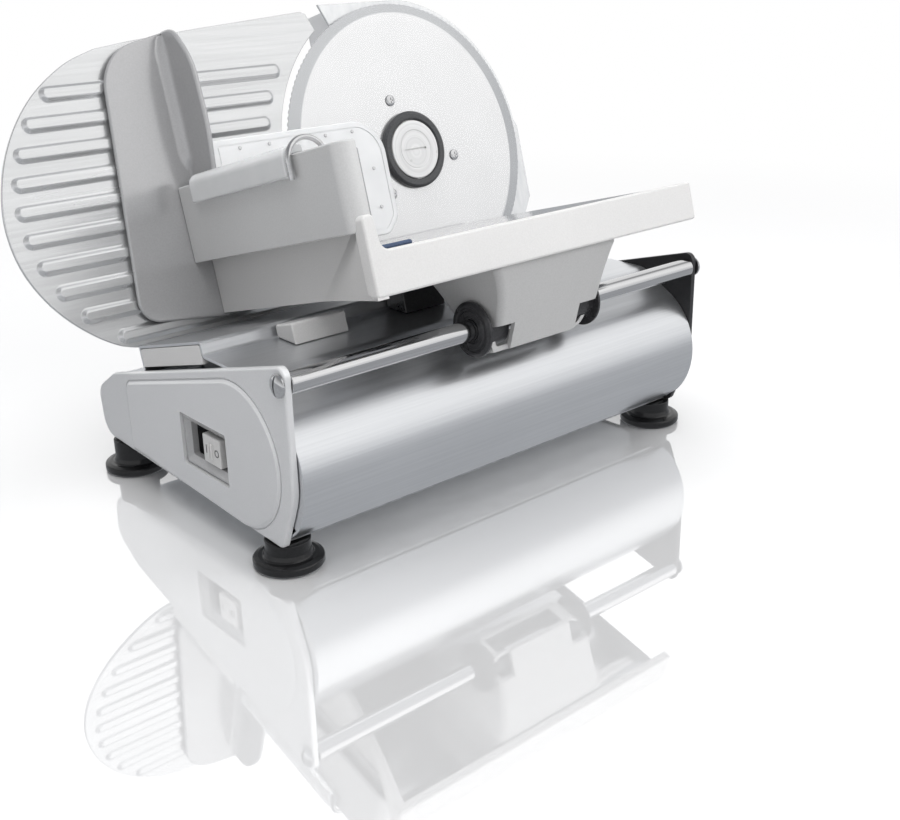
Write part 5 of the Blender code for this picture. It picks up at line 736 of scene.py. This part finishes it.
def makeTower():
    front, far = guard["front"], guard["front"] + guard["wall"]
    places = [np.array(share) * blade["radius"] for share in guard["screws"]]
    plate = newObject("guardPlate", raked, slab(guardLine(0), "y", front, far, 0.4))
    cut(plate, raked, bore("y", (0, 0), guard["hole"], 0, far + 3, 128),
        *[bore("y", place, guard["screwHole"], 0, far + 3, 32) for place in places])
    dressed(plate, "guardSteel", "base", "guard_plate")
    front, back, wall = housing["front"], housing["back"], housing["wall"]
    tower = newObject("rearHousing", raked, slab(lowered(guardLine(housing["inset"]), back), "y", front, back, 0.4,
                                                 5.0, steps=8))
    inner = lowered(guardLine(housing["inset"] + wall), back + 2)
    cut(tower, raked, slab(inner, "y", front - 2, back - wall, 0.0, 2.0, steps=4))
    join(tower, raked, slab(ringLine(0, 0, housing["boss"]), "y", housing["bossFront"], back - 1, 0.3, 0.0),
         *[slab(ringLine(*place, housing["screwBoss"], 32), "y", front, back - 1, 0.2, 0.0) for place in places])
    cut(tower, raked, baseBlock())
    cut(tower, raked, bore("y", (0, 0), housing["bore"], 20, back + 2),
        *[bore("y", place, guard["screwHole"], 3, front + housing["screwDepth"], 32) for place in places])
    dressed(tower, "silverPaint", "base", "rear_housing")


makeBlade()
makeLock()
makeTower()
print("blade and tower done")

# Fence with its pressed ribs, and the knob behind it

fence = dict(front=-0.6, wall=2.0, roundA=-193.0, roundC=-3.5, roundRadius=84.3, throatRadius=99.5, bottom=-86.0,
             throatTop=81.5, ribs=10, ribTop=60.0, ribPitch=15.0, ribWidth=10.2, ribShoulder=3.4,
             ribRaise=1.5, ribMargin=6.0, top=((-61.6, 92.0), (-65.4, 93.5), (-144.0, 87.9), (-184.0, 84.2)))
fenceRoundShares = (  # degrees round the left end, and its radius there as a share of roundRadius
    (98.0, 1.020), (112.0, 1.000), (130.0, 0.981), (148.0, 0.974), (166.0, 0.984), (184.0, 1.004), (202.0, 1.012),
    (222.0, 1.006), (244.0, 1.010), (264.0, 0.985))


def fenceLine():
    degrees, share = np.array(fenceRoundShares).T
    t, radius = np.radians(degrees), fence["roundRadius"] * share
    ring = smoothLine(np.stack([fence["roundA"] + radius * np.cos(t), fence["roundC"] + radius * np.sin(t)], -1))
    low, high = (math.degrees(math.asin(fence[key] / fence["throatRadius"])) for key in ("bottom", "throatTop"))
    throat = arc(0, 0, fence["throatRadius"], 180 - low, 180 - high, 2.0)
    return np.concatenate([ring, [(fence["roundA"], fence["bottom"])], throat, fence["top"]])


def fenceRib(c):
    # a pill whose height rises as h(1 - cos pi s)/2 while it is drawn in by s times its shoulder
    left = fence["roundA"] - math.sqrt(fence["roundRadius"] ** 2 - (c - fence["roundC"]) ** 2) + fence["ribMargin"]
    right = -math.sqrt((fence["throatRadius"] + fence["ribMargin"]) ** 2 - c ** 2) - fence["ribMargin"] / 4
    radius = fence["ribWidth"] / 2
    pill = tidyLine(np.concatenate([arc(right - radius, c, radius, 90, -90, 10),
                                    arc(left + radius, c, radius, 270, 90, 10)]))
    rings = [standing("y", pill, fence["front"] + 0.8)]
    for s in np.linspace(0, 1, 11):
        height = fence["ribRaise"] * (1 - math.cos(math.pi * s)) / 2
        rings.append(standing("y", drawnIn(pill, fence["ribShoulder"] * s), fence["front"] + 0.02 - height))
    return loft(rings)


def makeFence():
    front, back = fence["front"], fence["front"] + fence["wall"]
    plate = newObject("fence", raked, slab(fenceLine(), "y", front, back, 0.6, 0.3))
    join(plate, raked, *[fenceRib(fence["ribTop"] - index * fence["ribPitch"]) for index in range(fence["ribs"])])
    dressed(plate, "fenceSteel", "fence", "fence_plate", sharp=25)


knob = dict(radius=17.0, length=15.0, front=61.0, flutes=12, flute=1.2, socket=4.3, socketDepth=8.0, dish=12.0,
            dishDepth=0.8, markFrom=4.0, markTo=11.0, markHalf=0.6)


def makeKnob():
    # twelve finger flutes: the radius dips where a raised cosine is near its peak
    a, c, front, back = slide["a"], slide["axisC"], knob["front"], knob["front"] + knob["length"]
    t = np.linspace(0, math.tau, 288, endpoint=False)
    radius = knob["radius"] - knob["flute"] * (0.5 + 0.5 * np.cos(knob["flutes"] * t)) ** 3
    outline = np.stack([a + radius * np.cos(t), c + radius * np.sin(t)], -1)
    grip = newObject("thicknessKnob", raked, slab(outline, "y", front, back, 0.6, 2.2, steps=8))
    floor, dish = back - knob["dishDepth"], knob["dish"]
    cut(grip, raked, bore("y", (a, c), knob["socket"], front - 2, front + knob["socketDepth"]),
        turned([(0, floor), (dish, floor), (dish + 1.0, back + 1.0), (0, back + 1.0)], "y", (a, c)))
    dressed(grip, "darkPlastic", "knob", "thickness_knob")
    mark = roundBox(a - knob["markHalf"], a + knob["markHalf"], c + knob["markFrom"], c + knob["markTo"], 0.5)
    dressed(newObject("knobMark", raked, slab(mark, "y", floor - 0.2, floor + 0.3, 0.0, 0.1)), "bandPlastic", "knob")


makeFence()
makeKnob()
print("fence and knob done")

# Carriage: tray, wall, leg, bushings, glide foot and bumper

tray = dict(bandFront=-196.5, bandWall=6.0, bandTop=-53.0, bandBottom=-74.0, right=35.5, left=-190.8, postWall=6.6,
            postTop=-36.0, postBack=-188.5, seatShare=0.70, wallLeft=-166.0, wall=4.0, wallTop=-43.8,
            wallBottom=-75.0, flareTop=-150.0, flareBottom=-112.0, flarePower=1.15, flareEnd=0.7, topC=-54.0,
            sheet=1.5, back=-6.8, wallBack=-6.3, lip=6.0)
bumper = dict(a=-187.0, radius=1.4, back=-158.5, front=-178.5)


def flareLine(level, endB, count=24):
    # straight beside the food, then out to the front corner as a power of the way there
    start = tray["flareBottom"] + (tray["flareTop"] - tray["flareBottom"]) * (level - tray["wallBottom"]) / (
        tray["wallTop"] - tray["wallBottom"])
    b = np.linspace(start, endB, count)
    reach = (b - start) / (tray["bandFront"] - start)
    return np.stack([tray["wallLeft"] + (tray["left"] - tray["wallLeft"]) * reach ** tray["flarePower"], b], -1)


def trayRing(level):
    flare = flareLine(level, tray["bandFront"] + tray["flareEnd"])
    outer = np.concatenate([[(tray["wallLeft"], tray["wallBack"])], flare])
    inner = outer + (tray["wall"], 0)
    inner[-1, 0] = tray["left"] + tray["postWall"]
    return standing("z", np.concatenate([outer, inner[::-1]]), level)


def makeTray():
    levels = np.linspace(tray["wallBottom"], tray["wallTop"], 13)
    body = newObject("trayBody", raked, loft([trayRing(level) for level in levels]))
    front, left, corner, right = tray["bandFront"], tray["left"], tray["left"] + tray["postWall"], tray["right"]
    top, bottom, postTop, postBack = (tray[key] for key in ("bandTop", "bandBottom", "postTop", "postBack"))
    face = rounded([(left, bottom, 1.6), (right, bottom, 1.6), (right, top, 1.6), (corner + 1.5, top, 5.0),
                    (corner, postTop, 2.4), (left, postTop, 2.8)])
    join(body, raked, slab(face, "y", front, front + tray["bandWall"], 1.3, 0.7))
    wedge = [(front + 2.5, bottom + 2), (postBack, bottom + 2), (postBack, tray["wallTop"] - 0.4),
             (front + 4.5, postTop - 1.2)]
    join(body, raked, slab(wedge, "x", left + 0.4, corner - 0.4, 0.3))
    dressed(body, "bandPlastic", "carriage", "tray_body")
    wallGap, sheetFront, right = tray["wall"] + 0.5, front + tray["bandWall"] + gap, right - gap
    back, top, sheet = tray["back"], tray["topC"], tray["sheet"]
    seatA = tray["seatShare"] * left + (1 - tray["seatShare"]) * tray["wallLeft"] + wallGap
    outline = np.concatenate([[(tray["wallLeft"] + wallGap, back)],
                              flareLine(top, sheetFront)[:-1] + (wallGap, 0),
                              [(seatA, sheetFront), (right, sheetFront), (right, back)]])
    plate = newObject("trayTop", raked, slab(outline, "z", top - sheet, top, 0.3))
    lip = roundBox(sheetFront, back, top - tray["lip"], top, 0.4)
    join(plate, raked, slab(lip, "x", right - sheet, right, 0.3))
    dressed(plate, "polishedSteel", "carriage", "tray_top")
    radius = bumper["radius"]
    t = np.linspace(0, math.pi / 2, 6)
    end = np.stack([radius * np.sin(t), bumper["front"] + radius * (1 - np.cos(t))], -1)
    profile = np.concatenate([end, (end * (1, -1) + (0, bumper["front"] + bumper["back"]))[::-1]])
    dressed(newObject("trayBumper", raked, turned(profile, "x", (bumper["a"], top + gap + radius), 32)),
            "bluePlastic", "carriage", "tray_bumper")


thumb = dict(front=-6.0, wall=2.7, top=86.8, leftTop=(-204.6, 78.2, 28.0), leftBottom=(-217.6, -70.5, 13.0),
             bottom=-77.3, wallRight=-163.0, fillet=6.0, filletLow=1.5, lowFront=-166.9, lowTop=-3.4,
             crest=((-19.0, 86.2, 14.0), (-33.0, 66.0, 34.0), (-34.8, 30.0, 90.0), (-28.8, -3.4, 6.0)))


def makeWall():
    right, left, front, top = thumb["wallRight"], tray["wallLeft"], thumb["front"], thumb["top"]
    seat = tray["wallTop"] + gap
    side = rounded([(front, top, 0), *thumb["crest"], (thumb["lowFront"], thumb["lowTop"], 2.0),
                    (thumb["lowFront"], seat, 0.5), (front, seat, 0)], step=4)
    wall = newObject("trailingWall", raked, slab(side, "x", left, right, 1.3, 1.3))
    plate = rounded([(right, top, 0), thumb["leftTop"], thumb["leftBottom"], (right, thumb["bottom"], 0)], step=4)
    join(wall, raked, slab(plate, "y", front, front + thumb["wall"], 1.1, 0.9))
    # the cove between plate and wall: a quarter circle whose radius grows above the saddle and dies at the crest
    low = thumb["filletLow"]
    c = np.concatenate([np.linspace(low, 20, 12), np.linspace(24, 78, 16), np.linspace(79.5, 84.5, 6)])
    grow, fade = np.clip((c - low) / 16, 0, 1), np.clip((85.5 - c) / 9, 0, 1)
    size = 0.3 + thumb["fillet"] * grow * grow * (3 - 2 * grow) * np.sqrt(fade)
    t = np.radians(np.linspace(0, 90, 13))
    cove = np.stack([left - size[:, None] * (1 - np.cos(t)), front - size[:, None] * (1 - np.sin(t))], -1)
    sunkA, sunkB = np.full(len(c), left + 1.2), np.full(len(c), front + 1.2)
    back = np.stack([np.stack([left - size, sunkB], -1), np.stack([sunkA, sunkB], -1),
                     np.stack([sunkA, front - size], -1)], 1)
    join(wall, raked, loft(standing("z", np.concatenate([cove, back], 1), c[:, None])))
    dressed(wall, "wallPlastic", "carriage", "trailing_wall", sharp=40)


leg = dict(topLeft=-112.0, topRight=-24.0, left=-103.0, right=-28.5, front=-190.2, back=-131.0, bottomFront=-165.5,
           bottomBack=-147.5, bottom=-118.7, knee=-75.5, wall=3.0, corner=4.0, toe=16.0, windowTop=-105.0,
           leftWindow=11.0, rightWindow=15.0)
bushing = dict(radius=11.0, hole=5.8, flangeRadius=15.0, flange=2.6, length=15.0)
legTop = tray["topC"] - tray["sheet"] - gap
rodBack, rodDown = rodValues["y"] - hubInBase[1], rodValues["z"] - hubInBase[2]
rodPlace = rodBack * math.cos(rake) - rodDown * math.sin(rake), rodBack * math.sin(rake) + rodDown * math.cos(rake)


def legRing(c, inset, radius):
    # the sides lean in as (1 - s)^3 and the back as s^1.3 below the knee, and the right foot is a quarter circle
    share = np.clip((leg["knee"] - c) / (leg["knee"] - leg["bottom"]), 0, 1)
    lean = (1 - share) ** 3
    left, right = (leg[low] + (leg[high] - leg[low]) * lean for low, high in (("left", "topLeft"),
                                                                             ("right", "topRight")))
    above = max(0, leg["toe"] - (c - leg["bottom"]))
    right -= leg["toe"] - math.sqrt(max(0, leg["toe"] ** 2 - above ** 2))
    front = leg["front"] + (leg["bottomFront"] - leg["front"]) * share
    back = leg["back"] + (leg["bottomBack"] - leg["back"]) * share ** 1.3
    return standing("z", roundBox(left + inset, right - inset, front + inset, back - inset, radius, 9.0), c)


def makeLeg():
    wall = leg["wall"]
    down = np.linspace(leg["knee"], leg["bottom"] + 0.02, 36)
    levels = np.concatenate([[legTop], np.linspace(legTop - 1, leg["knee"] + 1, 6), down])
    body = newObject("carriageLeg", raked, loft([legRing(c, 0, leg["corner"]) for c in levels]))
    inner = np.concatenate([[legTop - wall], np.linspace(-60, leg["knee"], 4), down[1:]])
    rings = [legRing(c, wall, 1.2) for c in inner]
    cut(body, raked, loft([*rings, rings[-1] - (0, 0, 3.0)]))
    cut(body, raked, bore("x", rodPlace, bushing["radius"] + gap, leg["topLeft"] - 3.0, leg["topRight"] + 4.0))
    window = roundBox(leg["front"] - 2, leg["bottomFront"] + wall / 2, leg["bottom"] - 2, leg["windowTop"], 1.0)
    cut(body, raked, block(window, "x", leg["left"] - 2, leg["left"] + leg["leftWindow"]),
        block(window, "x", leg["right"] - leg["rightWindow"], leg["right"] + 2))
    dressed(body, "legPlastic", "carriage", "carriage_leg")


def makeBushings():
    radius, hole, rim = bushing["radius"], bushing["hole"], bushing["flangeRadius"]
    spread = (1 - (leg["knee"] - rodPlace[1] - rim) / (leg["knee"] - leg["bottom"])) ** 3
    for side, name, topName in ((-1, "left", "topLeft"), (1, "right", "topRight")):
        seat = leg[name] + (leg[topName] - leg[name]) * spread + side * 0.5
        outer, inner = seat + side * bushing["flange"], seat - side * bushing["length"]
        profile = [(hole, inner, 0), (radius, inner, 0.3), (radius, seat, 0), (rim, seat, 0.2),
                   (rim, seat + side * 1.5, 0.6), (rim - 1.8, outer, 0.5), (rim - 3.0, outer, 0.2),
                   (rim - 3.5, outer - side * 0.7, 0.2), (rim - 4.8, outer - side * 0.7, 0.2),
                   (rim - 5.3, outer, 0.2), (hole + 1.6, outer, 0.2), (hole + 1.1, outer - side * 0.6, 0.2),
                   (hole, outer - side * 0.6, 0)]
        ring = newObject(f"bushing.{name}", raked, turned(rounded(profile, closed=False, step=15), "x", rodPlace))
        dressed(ring, "darkPlastic", "carriage", f"bushing_{name}")


glide = dict(left=-104.0, right=-75.0, front=-98.0, back=-81.0, stem=8.0, heelC=-75.4, clear=0.5)


def makeGlide():
    front, back, heel = glide["front"], glide["back"], glide["heelC"]
    stem = back - glide["stem"]
    outline = rounded([(stem, legTop, 0.3), (back, legTop, 0.3), (back, deckC(back, glide["clear"]), 0.6),
                       (front, deckC(front, glide["clear"]), 0.6), (front, heel, 1.5), (stem, heel, 1.0)])
    dressed(newObject("glideFoot", raked, slab(outline, "x", glide["left"], glide["right"], 1.0)), "darkPlastic",
            "carriage", "glide_foot")


makeTray()
makeWall()
makeLeg()
makeBushings()
makeGlide()
print("carriage done")

# Food pusher on the wall

saddle = dict(left=-177.3, wall=2.4, bottom=-43.5, front=-170.0, back=-6.4, nose=8.0, webFront=-150.0, webBack=-40.0,
              web=2.8, skirt=-22.0)
bar = dict(left=-181.5, right=-168.5, bottom=-11.0, top=4.6, front=-128.0, back=-27.0)
wire = dict(radius=1.5, a=-168.6, c=-4.0, arch=11.4, drop=8.5, b=-130.5)
pusher = dict(left=-160.0, right=-39.3, waistA=-48.0, top=21.5, bottom=-50.0, waistC=-40.0, front=-24.0, wall=3.5,
              grooveIn=3.4, groove=0.8, grooveDepth=0.5, arm=9.0, armTop=-14.0, armBottom=-22.0, armFront=-134.5)
spike = dict(radius=1.1, stand=8.0, left=18.0, top=6.0, right=12.0, columns=5, columnPitch=20.0, rowPitch=24.0)


def saddleLine(inset):
    left, right = saddle["left"] + inset, tray["wallLeft"] - gap - inset
    front, back = saddle["front"] + inset, saddle["back"] - inset
    return rounded([(left, back, 0.6), (left, front, max(saddle["nose"] - inset, 1.2)), (right, front, 0.6),
                    (right, back, 0.6)], step=4)


def makeSaddle():
    wall, front, back = saddle["wall"], saddle["webFront"], saddle["webBack"]
    box = newObject("pusherSaddle", raked, slab(saddleLine(0), "z", saddle["bottom"], 0.0, 0.5, 1.1))
    cut(box, raked, block(saddleLine(wall), "z", saddle["bottom"] - 2, -wall))
    skirtLeft = thumb["wallRight"] + gap
    web = roundBox(tray["wallLeft"] - wall, skirtLeft + wall, front, back, 0.5)
    join(box, raked, slab(web, "z", -saddle["web"], -0.02, 0.3))
    skirt = roundBox(skirtLeft, skirtLeft + wall, front, back, 0.5)
    join(box, raked, slab(skirt, "z", saddle["skirt"], -1.4, 0.3))
    dressed(box, "boxPlastic", "pusher", "pusher_saddle")


def makeBar():
    left, right, bottom, top = (bar[key] for key in ("left", "right", "bottom", "top"))
    innerA, innerC = saddle["left"] - gap, gap
    outline = rounded([(left, bottom, 1.2), (innerA, bottom, 0.8), (innerA, innerC, 0.3), (right, innerC, 0.6),
                       (right, top, 1.5), (left, top, 6.0)])
    dressed(newObject("pusherBar", raked, slab(outline, "y", bar["front"], bar["back"], 1.2, 1.9)), "clearPlastic",
            "pusher", "pusher_bar")


def makeWire():
    a, c = wire["a"], wire["c"]
    arch = arc(a, c, wire["arch"], 180, 0, 4)
    line = np.concatenate([[(arch[0][0], c - wire["drop"]), (arch[0][0], c - 4)], arch,
                           [(arch[-1][0], pusher["armTop"] + gap)]])
    path = standing("y", line, wire["b"])
    dressed(newObject("pusherWire", raked, rod(path, wire["radius"])), "polishedSteel", "pusher", "pusher_wire")


def makePusherPlate():
    left, right, top, bottom, front = (pusher[key] for key in ("left", "right", "top", "bottom", "front"))
    outline = rounded([(left, bottom, 1.0), (pusher["waistA"], bottom, 8.0), (right, pusher["waistC"], 8.0),
                       (right, top, 22.0), (left, top, 1.5)])
    back = front + pusher["wall"]
    plate = newObject("pusherPlate", raked, slab(outline, "y", front, back, 0.9))
    near, far, floor = pusher["grooveIn"], pusher["grooveIn"] + pusher["groove"], front + pusher["grooveDepth"]
    groove = ((near, front - 1), (near, floor), (far, floor), (far, front - 1))
    cut(plate, raked, loft([standing("y", drawnIn(tidyLine(outline), inset), b) for inset, b in groove], hoop=True))
    armLeft = thumb["wallRight"] + 2 * gap + saddle["wall"]
    arm = roundBox(armLeft, armLeft + pusher["arm"], pusher["armBottom"], pusher["armTop"], 1.5)
    join(plate, raked, slab(arm, "y", pusher["armFront"], front + 1.5, 1.0, 0.0))
    dressed(plate, "platePlastic", "pusher", "pusher_plate")
    a, c = left + spike["left"], top - spike["top"]
    places = [(a + column * spike["columnPitch"], c) for column in range(spike["columns"])]
    places += [(place, c - row * spike["rowPitch"]) for row in (1, 2) for place in (a, right - spike["right"])]
    profile = rounded([(0, front - 0.5, 0), (spike["radius"], front - 0.5, 0.3), (spike["radius"], back + 4, 0.5),
                       (0, back + spike["stand"], 0)], closed=False)
    spikes = [turned(profile, "y", place, 20) for place in places]
    dressed(newObject("pusherSpikes", raked, *spikes), "polishedSteel", "pusher")


makeSaddle()
makeBar()
makeWire()
makePusherPlate()
print("pusher done")

# The table, the light and the camera

studio = dict(floorSize=8.0, keepRadius=0.45, fadeRadius=1.1, mirrorShare=0.45, worldLight=0.42, paintedFloorReflection=0.42)


def makeFloor():
    mesh = bpy.data.meshes.new("floor")
    half = studio["floorSize"] / 2
    mesh.from_pydata([(-half, -half, -0.0002), (half, -half, -0.0002), (half, half, -0.0002), (-half, half, -0.0002)],
                     [], [(0, 1, 2, 3)])
    floor = bpy.data.objects.new("floor", mesh)
    bpy.context.scene.collection.objects.link(floor)
    material, tree, _, place = startFinish("tableTop")
    matt = addNode(tree, "BsdfDiffuse", {"Color": (0.80, 0.80, 0.805, 1)}).outputs["BSDF"]
    mirror = addNode(tree, "BsdfGlossy", {"Color": (1, 1, 1, 1), "Roughness": 0.015}).outputs["BSDF"]
    table = addNode(tree, "MixShader", {"Fac": studio["mirrorShare"], 1: matt, 2: mirror}).outputs["Shader"]
    away = addNode(tree, "VectorMath", {"Vector": place}, operation="LENGTH").outputs["Value"]
    fade = spread(tree, away, studio["keepRadius"], studio["fadeRadius"], interpolation_type="SMOOTHSTEP")
    white = addNode(tree, "Emission", {"Color": (1, 1, 1, 1), "Strength": 1.0}).outputs["Emission"]
    mixed = addNode(tree, "MixShader", {"Fac": fade, 1: table, 2: white}).outputs["Shader"]
    tone = studio["paintedFloorReflection"]  # painted reflection: to glossy rays the table glows a darker, bluer tone in place of its lit white
    dim = addNode(tree, "Emission", {"Color": (tone, tone * 1.03, tone * 1.08, 1)}).outputs["Emission"]
    ray = addNode(tree, "LightPath").outputs["Is Glossy Ray"]
    shown = addNode(tree, "MixShader", {"Fac": ray, 1: mixed, 2: dim}).outputs["Shader"]
    tree.links.new(shown, tree.nodes["Material Output"].inputs["Surface"])
    mesh.materials.append(material)


def makeWorld():
    # white to the camera; to metal a studio: bright above the front, grey low down and towards the back
    world = bpy.data.worlds.new("studio")
    world.use_nodes = True
    bpy.context.scene.world = world
    tree = world.node_tree
    tree.nodes.clear()
    way = addNode(tree, "TexCoord").outputs["Generated"]
    height = addNode(tree, "SeparateXYZ", {"Vector": way}).outputs["Z"]
    ramp = addNode(tree, "ValToRGB", {"Fac": spread(tree, height, -0.2, 1.0)})
    stops = ramp.color_ramp.elements
    stops[0].position, stops[0].color = 0.0, (0.80, 0.81, 0.83, 1)
    stops[1].position, stops[1].color = 1.0, (0.32, 0.33, 0.35, 1)
    for spot, tone in ((0.20, 0.84), (0.45, 0.60), (0.70, 0.30)):
        stops.new(spot).color = (tone, tone * 1.01, tone * 1.03, 1)
    seen = ramp.outputs["Color"]
    for aim, low, high, tone in ((  # a soft box over the front, and a white wall behind
            (0.45, -0.62, 0.64), 0.76, 0.94, 1.12), ((0.648, 0.762, 0.0), 0.45, 0.70, 1.0)):
        facing = addNode(tree, "VectorMath", {0: way, 1: aim}, operation="DOT_PRODUCT").outputs["Value"]
        lit = spread(tree, facing, low, high, interpolation_type="SMOOTHSTEP")
        seen = blended(tree, lit, seen, tone)
    ray = addNode(tree, "LightPath").outputs
    mirrored = addNode(tree, "Background", {"Color": seen, "Strength": 1.0}).outputs["Background"]
    plain = addNode(tree, "Background", {"Color": (0.97, 0.98, 1.0, 1), "Strength": studio["worldLight"]})
    white = addNode(tree, "Background", {"Color": (1, 1, 1, 1), "Strength": 1.0}).outputs["Background"]
    first = addNode(tree, "MixShader", {"Fac": ray["Is Glossy Ray"], 1: plain.outputs["Background"], 2: mirrored})
    second = addNode(tree, "MixShader", {"Fac": ray["Is Camera Ray"], 1: first.outputs["Shader"], 2: white})
    third = addNode(tree, "MixShader", {"Fac": ray["Is Transmission Ray"], 1: second.outputs["Shader"], 2: white})
    output = addNode(tree, "OutputWorld")
    tree.links.new(third.outputs["Shader"], output.inputs["Surface"])


lights = {  # place, aim, size and power of each soft lamp, in metres and watts
    "overhead": dict(place=(-0.2, -0.1, 1.5), aim=(0, 0, 0.1), size=1.2, power=19.0),
    "front": dict(place=(-0.45, -1.4, 0.95), aim=(0, 0, 0.12), size=0.9, power=7.0),
    "right": dict(place=(1.0, -1.05, 0.80), aim=(0, 0, 0.15), size=0.8, power=8.5),
    "behind": dict(place=(0.3, 1.3, 1.1), aim=(0, 0, 0.12), size=1.0, power=5.0),
}


def makeLights():
    for name, values in lights.items():
        lamp = bpy.data.lights.new(name, "AREA")
        lamp.shape, lamp.size, lamp.energy = "SQUARE", values["size"], values["power"]
        holder = bpy.data.objects.new(name, lamp)
        aim = np.array(values["aim"]) - np.array(values["place"])
        back = -unit(aim)
        side = unit(np.cross((0.0, 0.0, 1.0), back))
        turn = np.stack([side, np.cross(back, side), back], 1)
        holder.matrix_world = Matrix.Translation(values["place"]) @ Matrix(turn.tolist()).to_4x4()
        holder.visible_glossy = False
        bpy.context.scene.collection.objects.link(holder)


camera = dict(lens=48.37, sensor=36.0, place=(-420.05, -555.54, 299.1), right=(0.75560, -0.65470, -0.02098),
              down=(-0.25691, -0.26674, -0.92890), forward=(0.60256, 0.70726, -0.36975))


def makeCamera():
    data = bpy.data.cameras.new("camera")
    data.sensor_fit, data.sensor_width, data.lens = "HORIZONTAL", camera["sensor"], camera["lens"]
    view = bpy.data.objects.new("camera", data)
    turn = np.stack([camera["right"], -np.array(camera["down"]), -np.array(camera["forward"])], 1)
    view.matrix_world = Matrix.Translation(np.array(camera["place"]) / 1000) @ Matrix(turn.tolist()).to_4x4()
    bpy.context.scene.collection.objects.link(view)
    bpy.context.scene.camera = view


makeFloor()
makeWorld()
makeLights()
makeCamera()
bpy.context.scene.view_settings.view_transform = "Standard"
print("studio done")
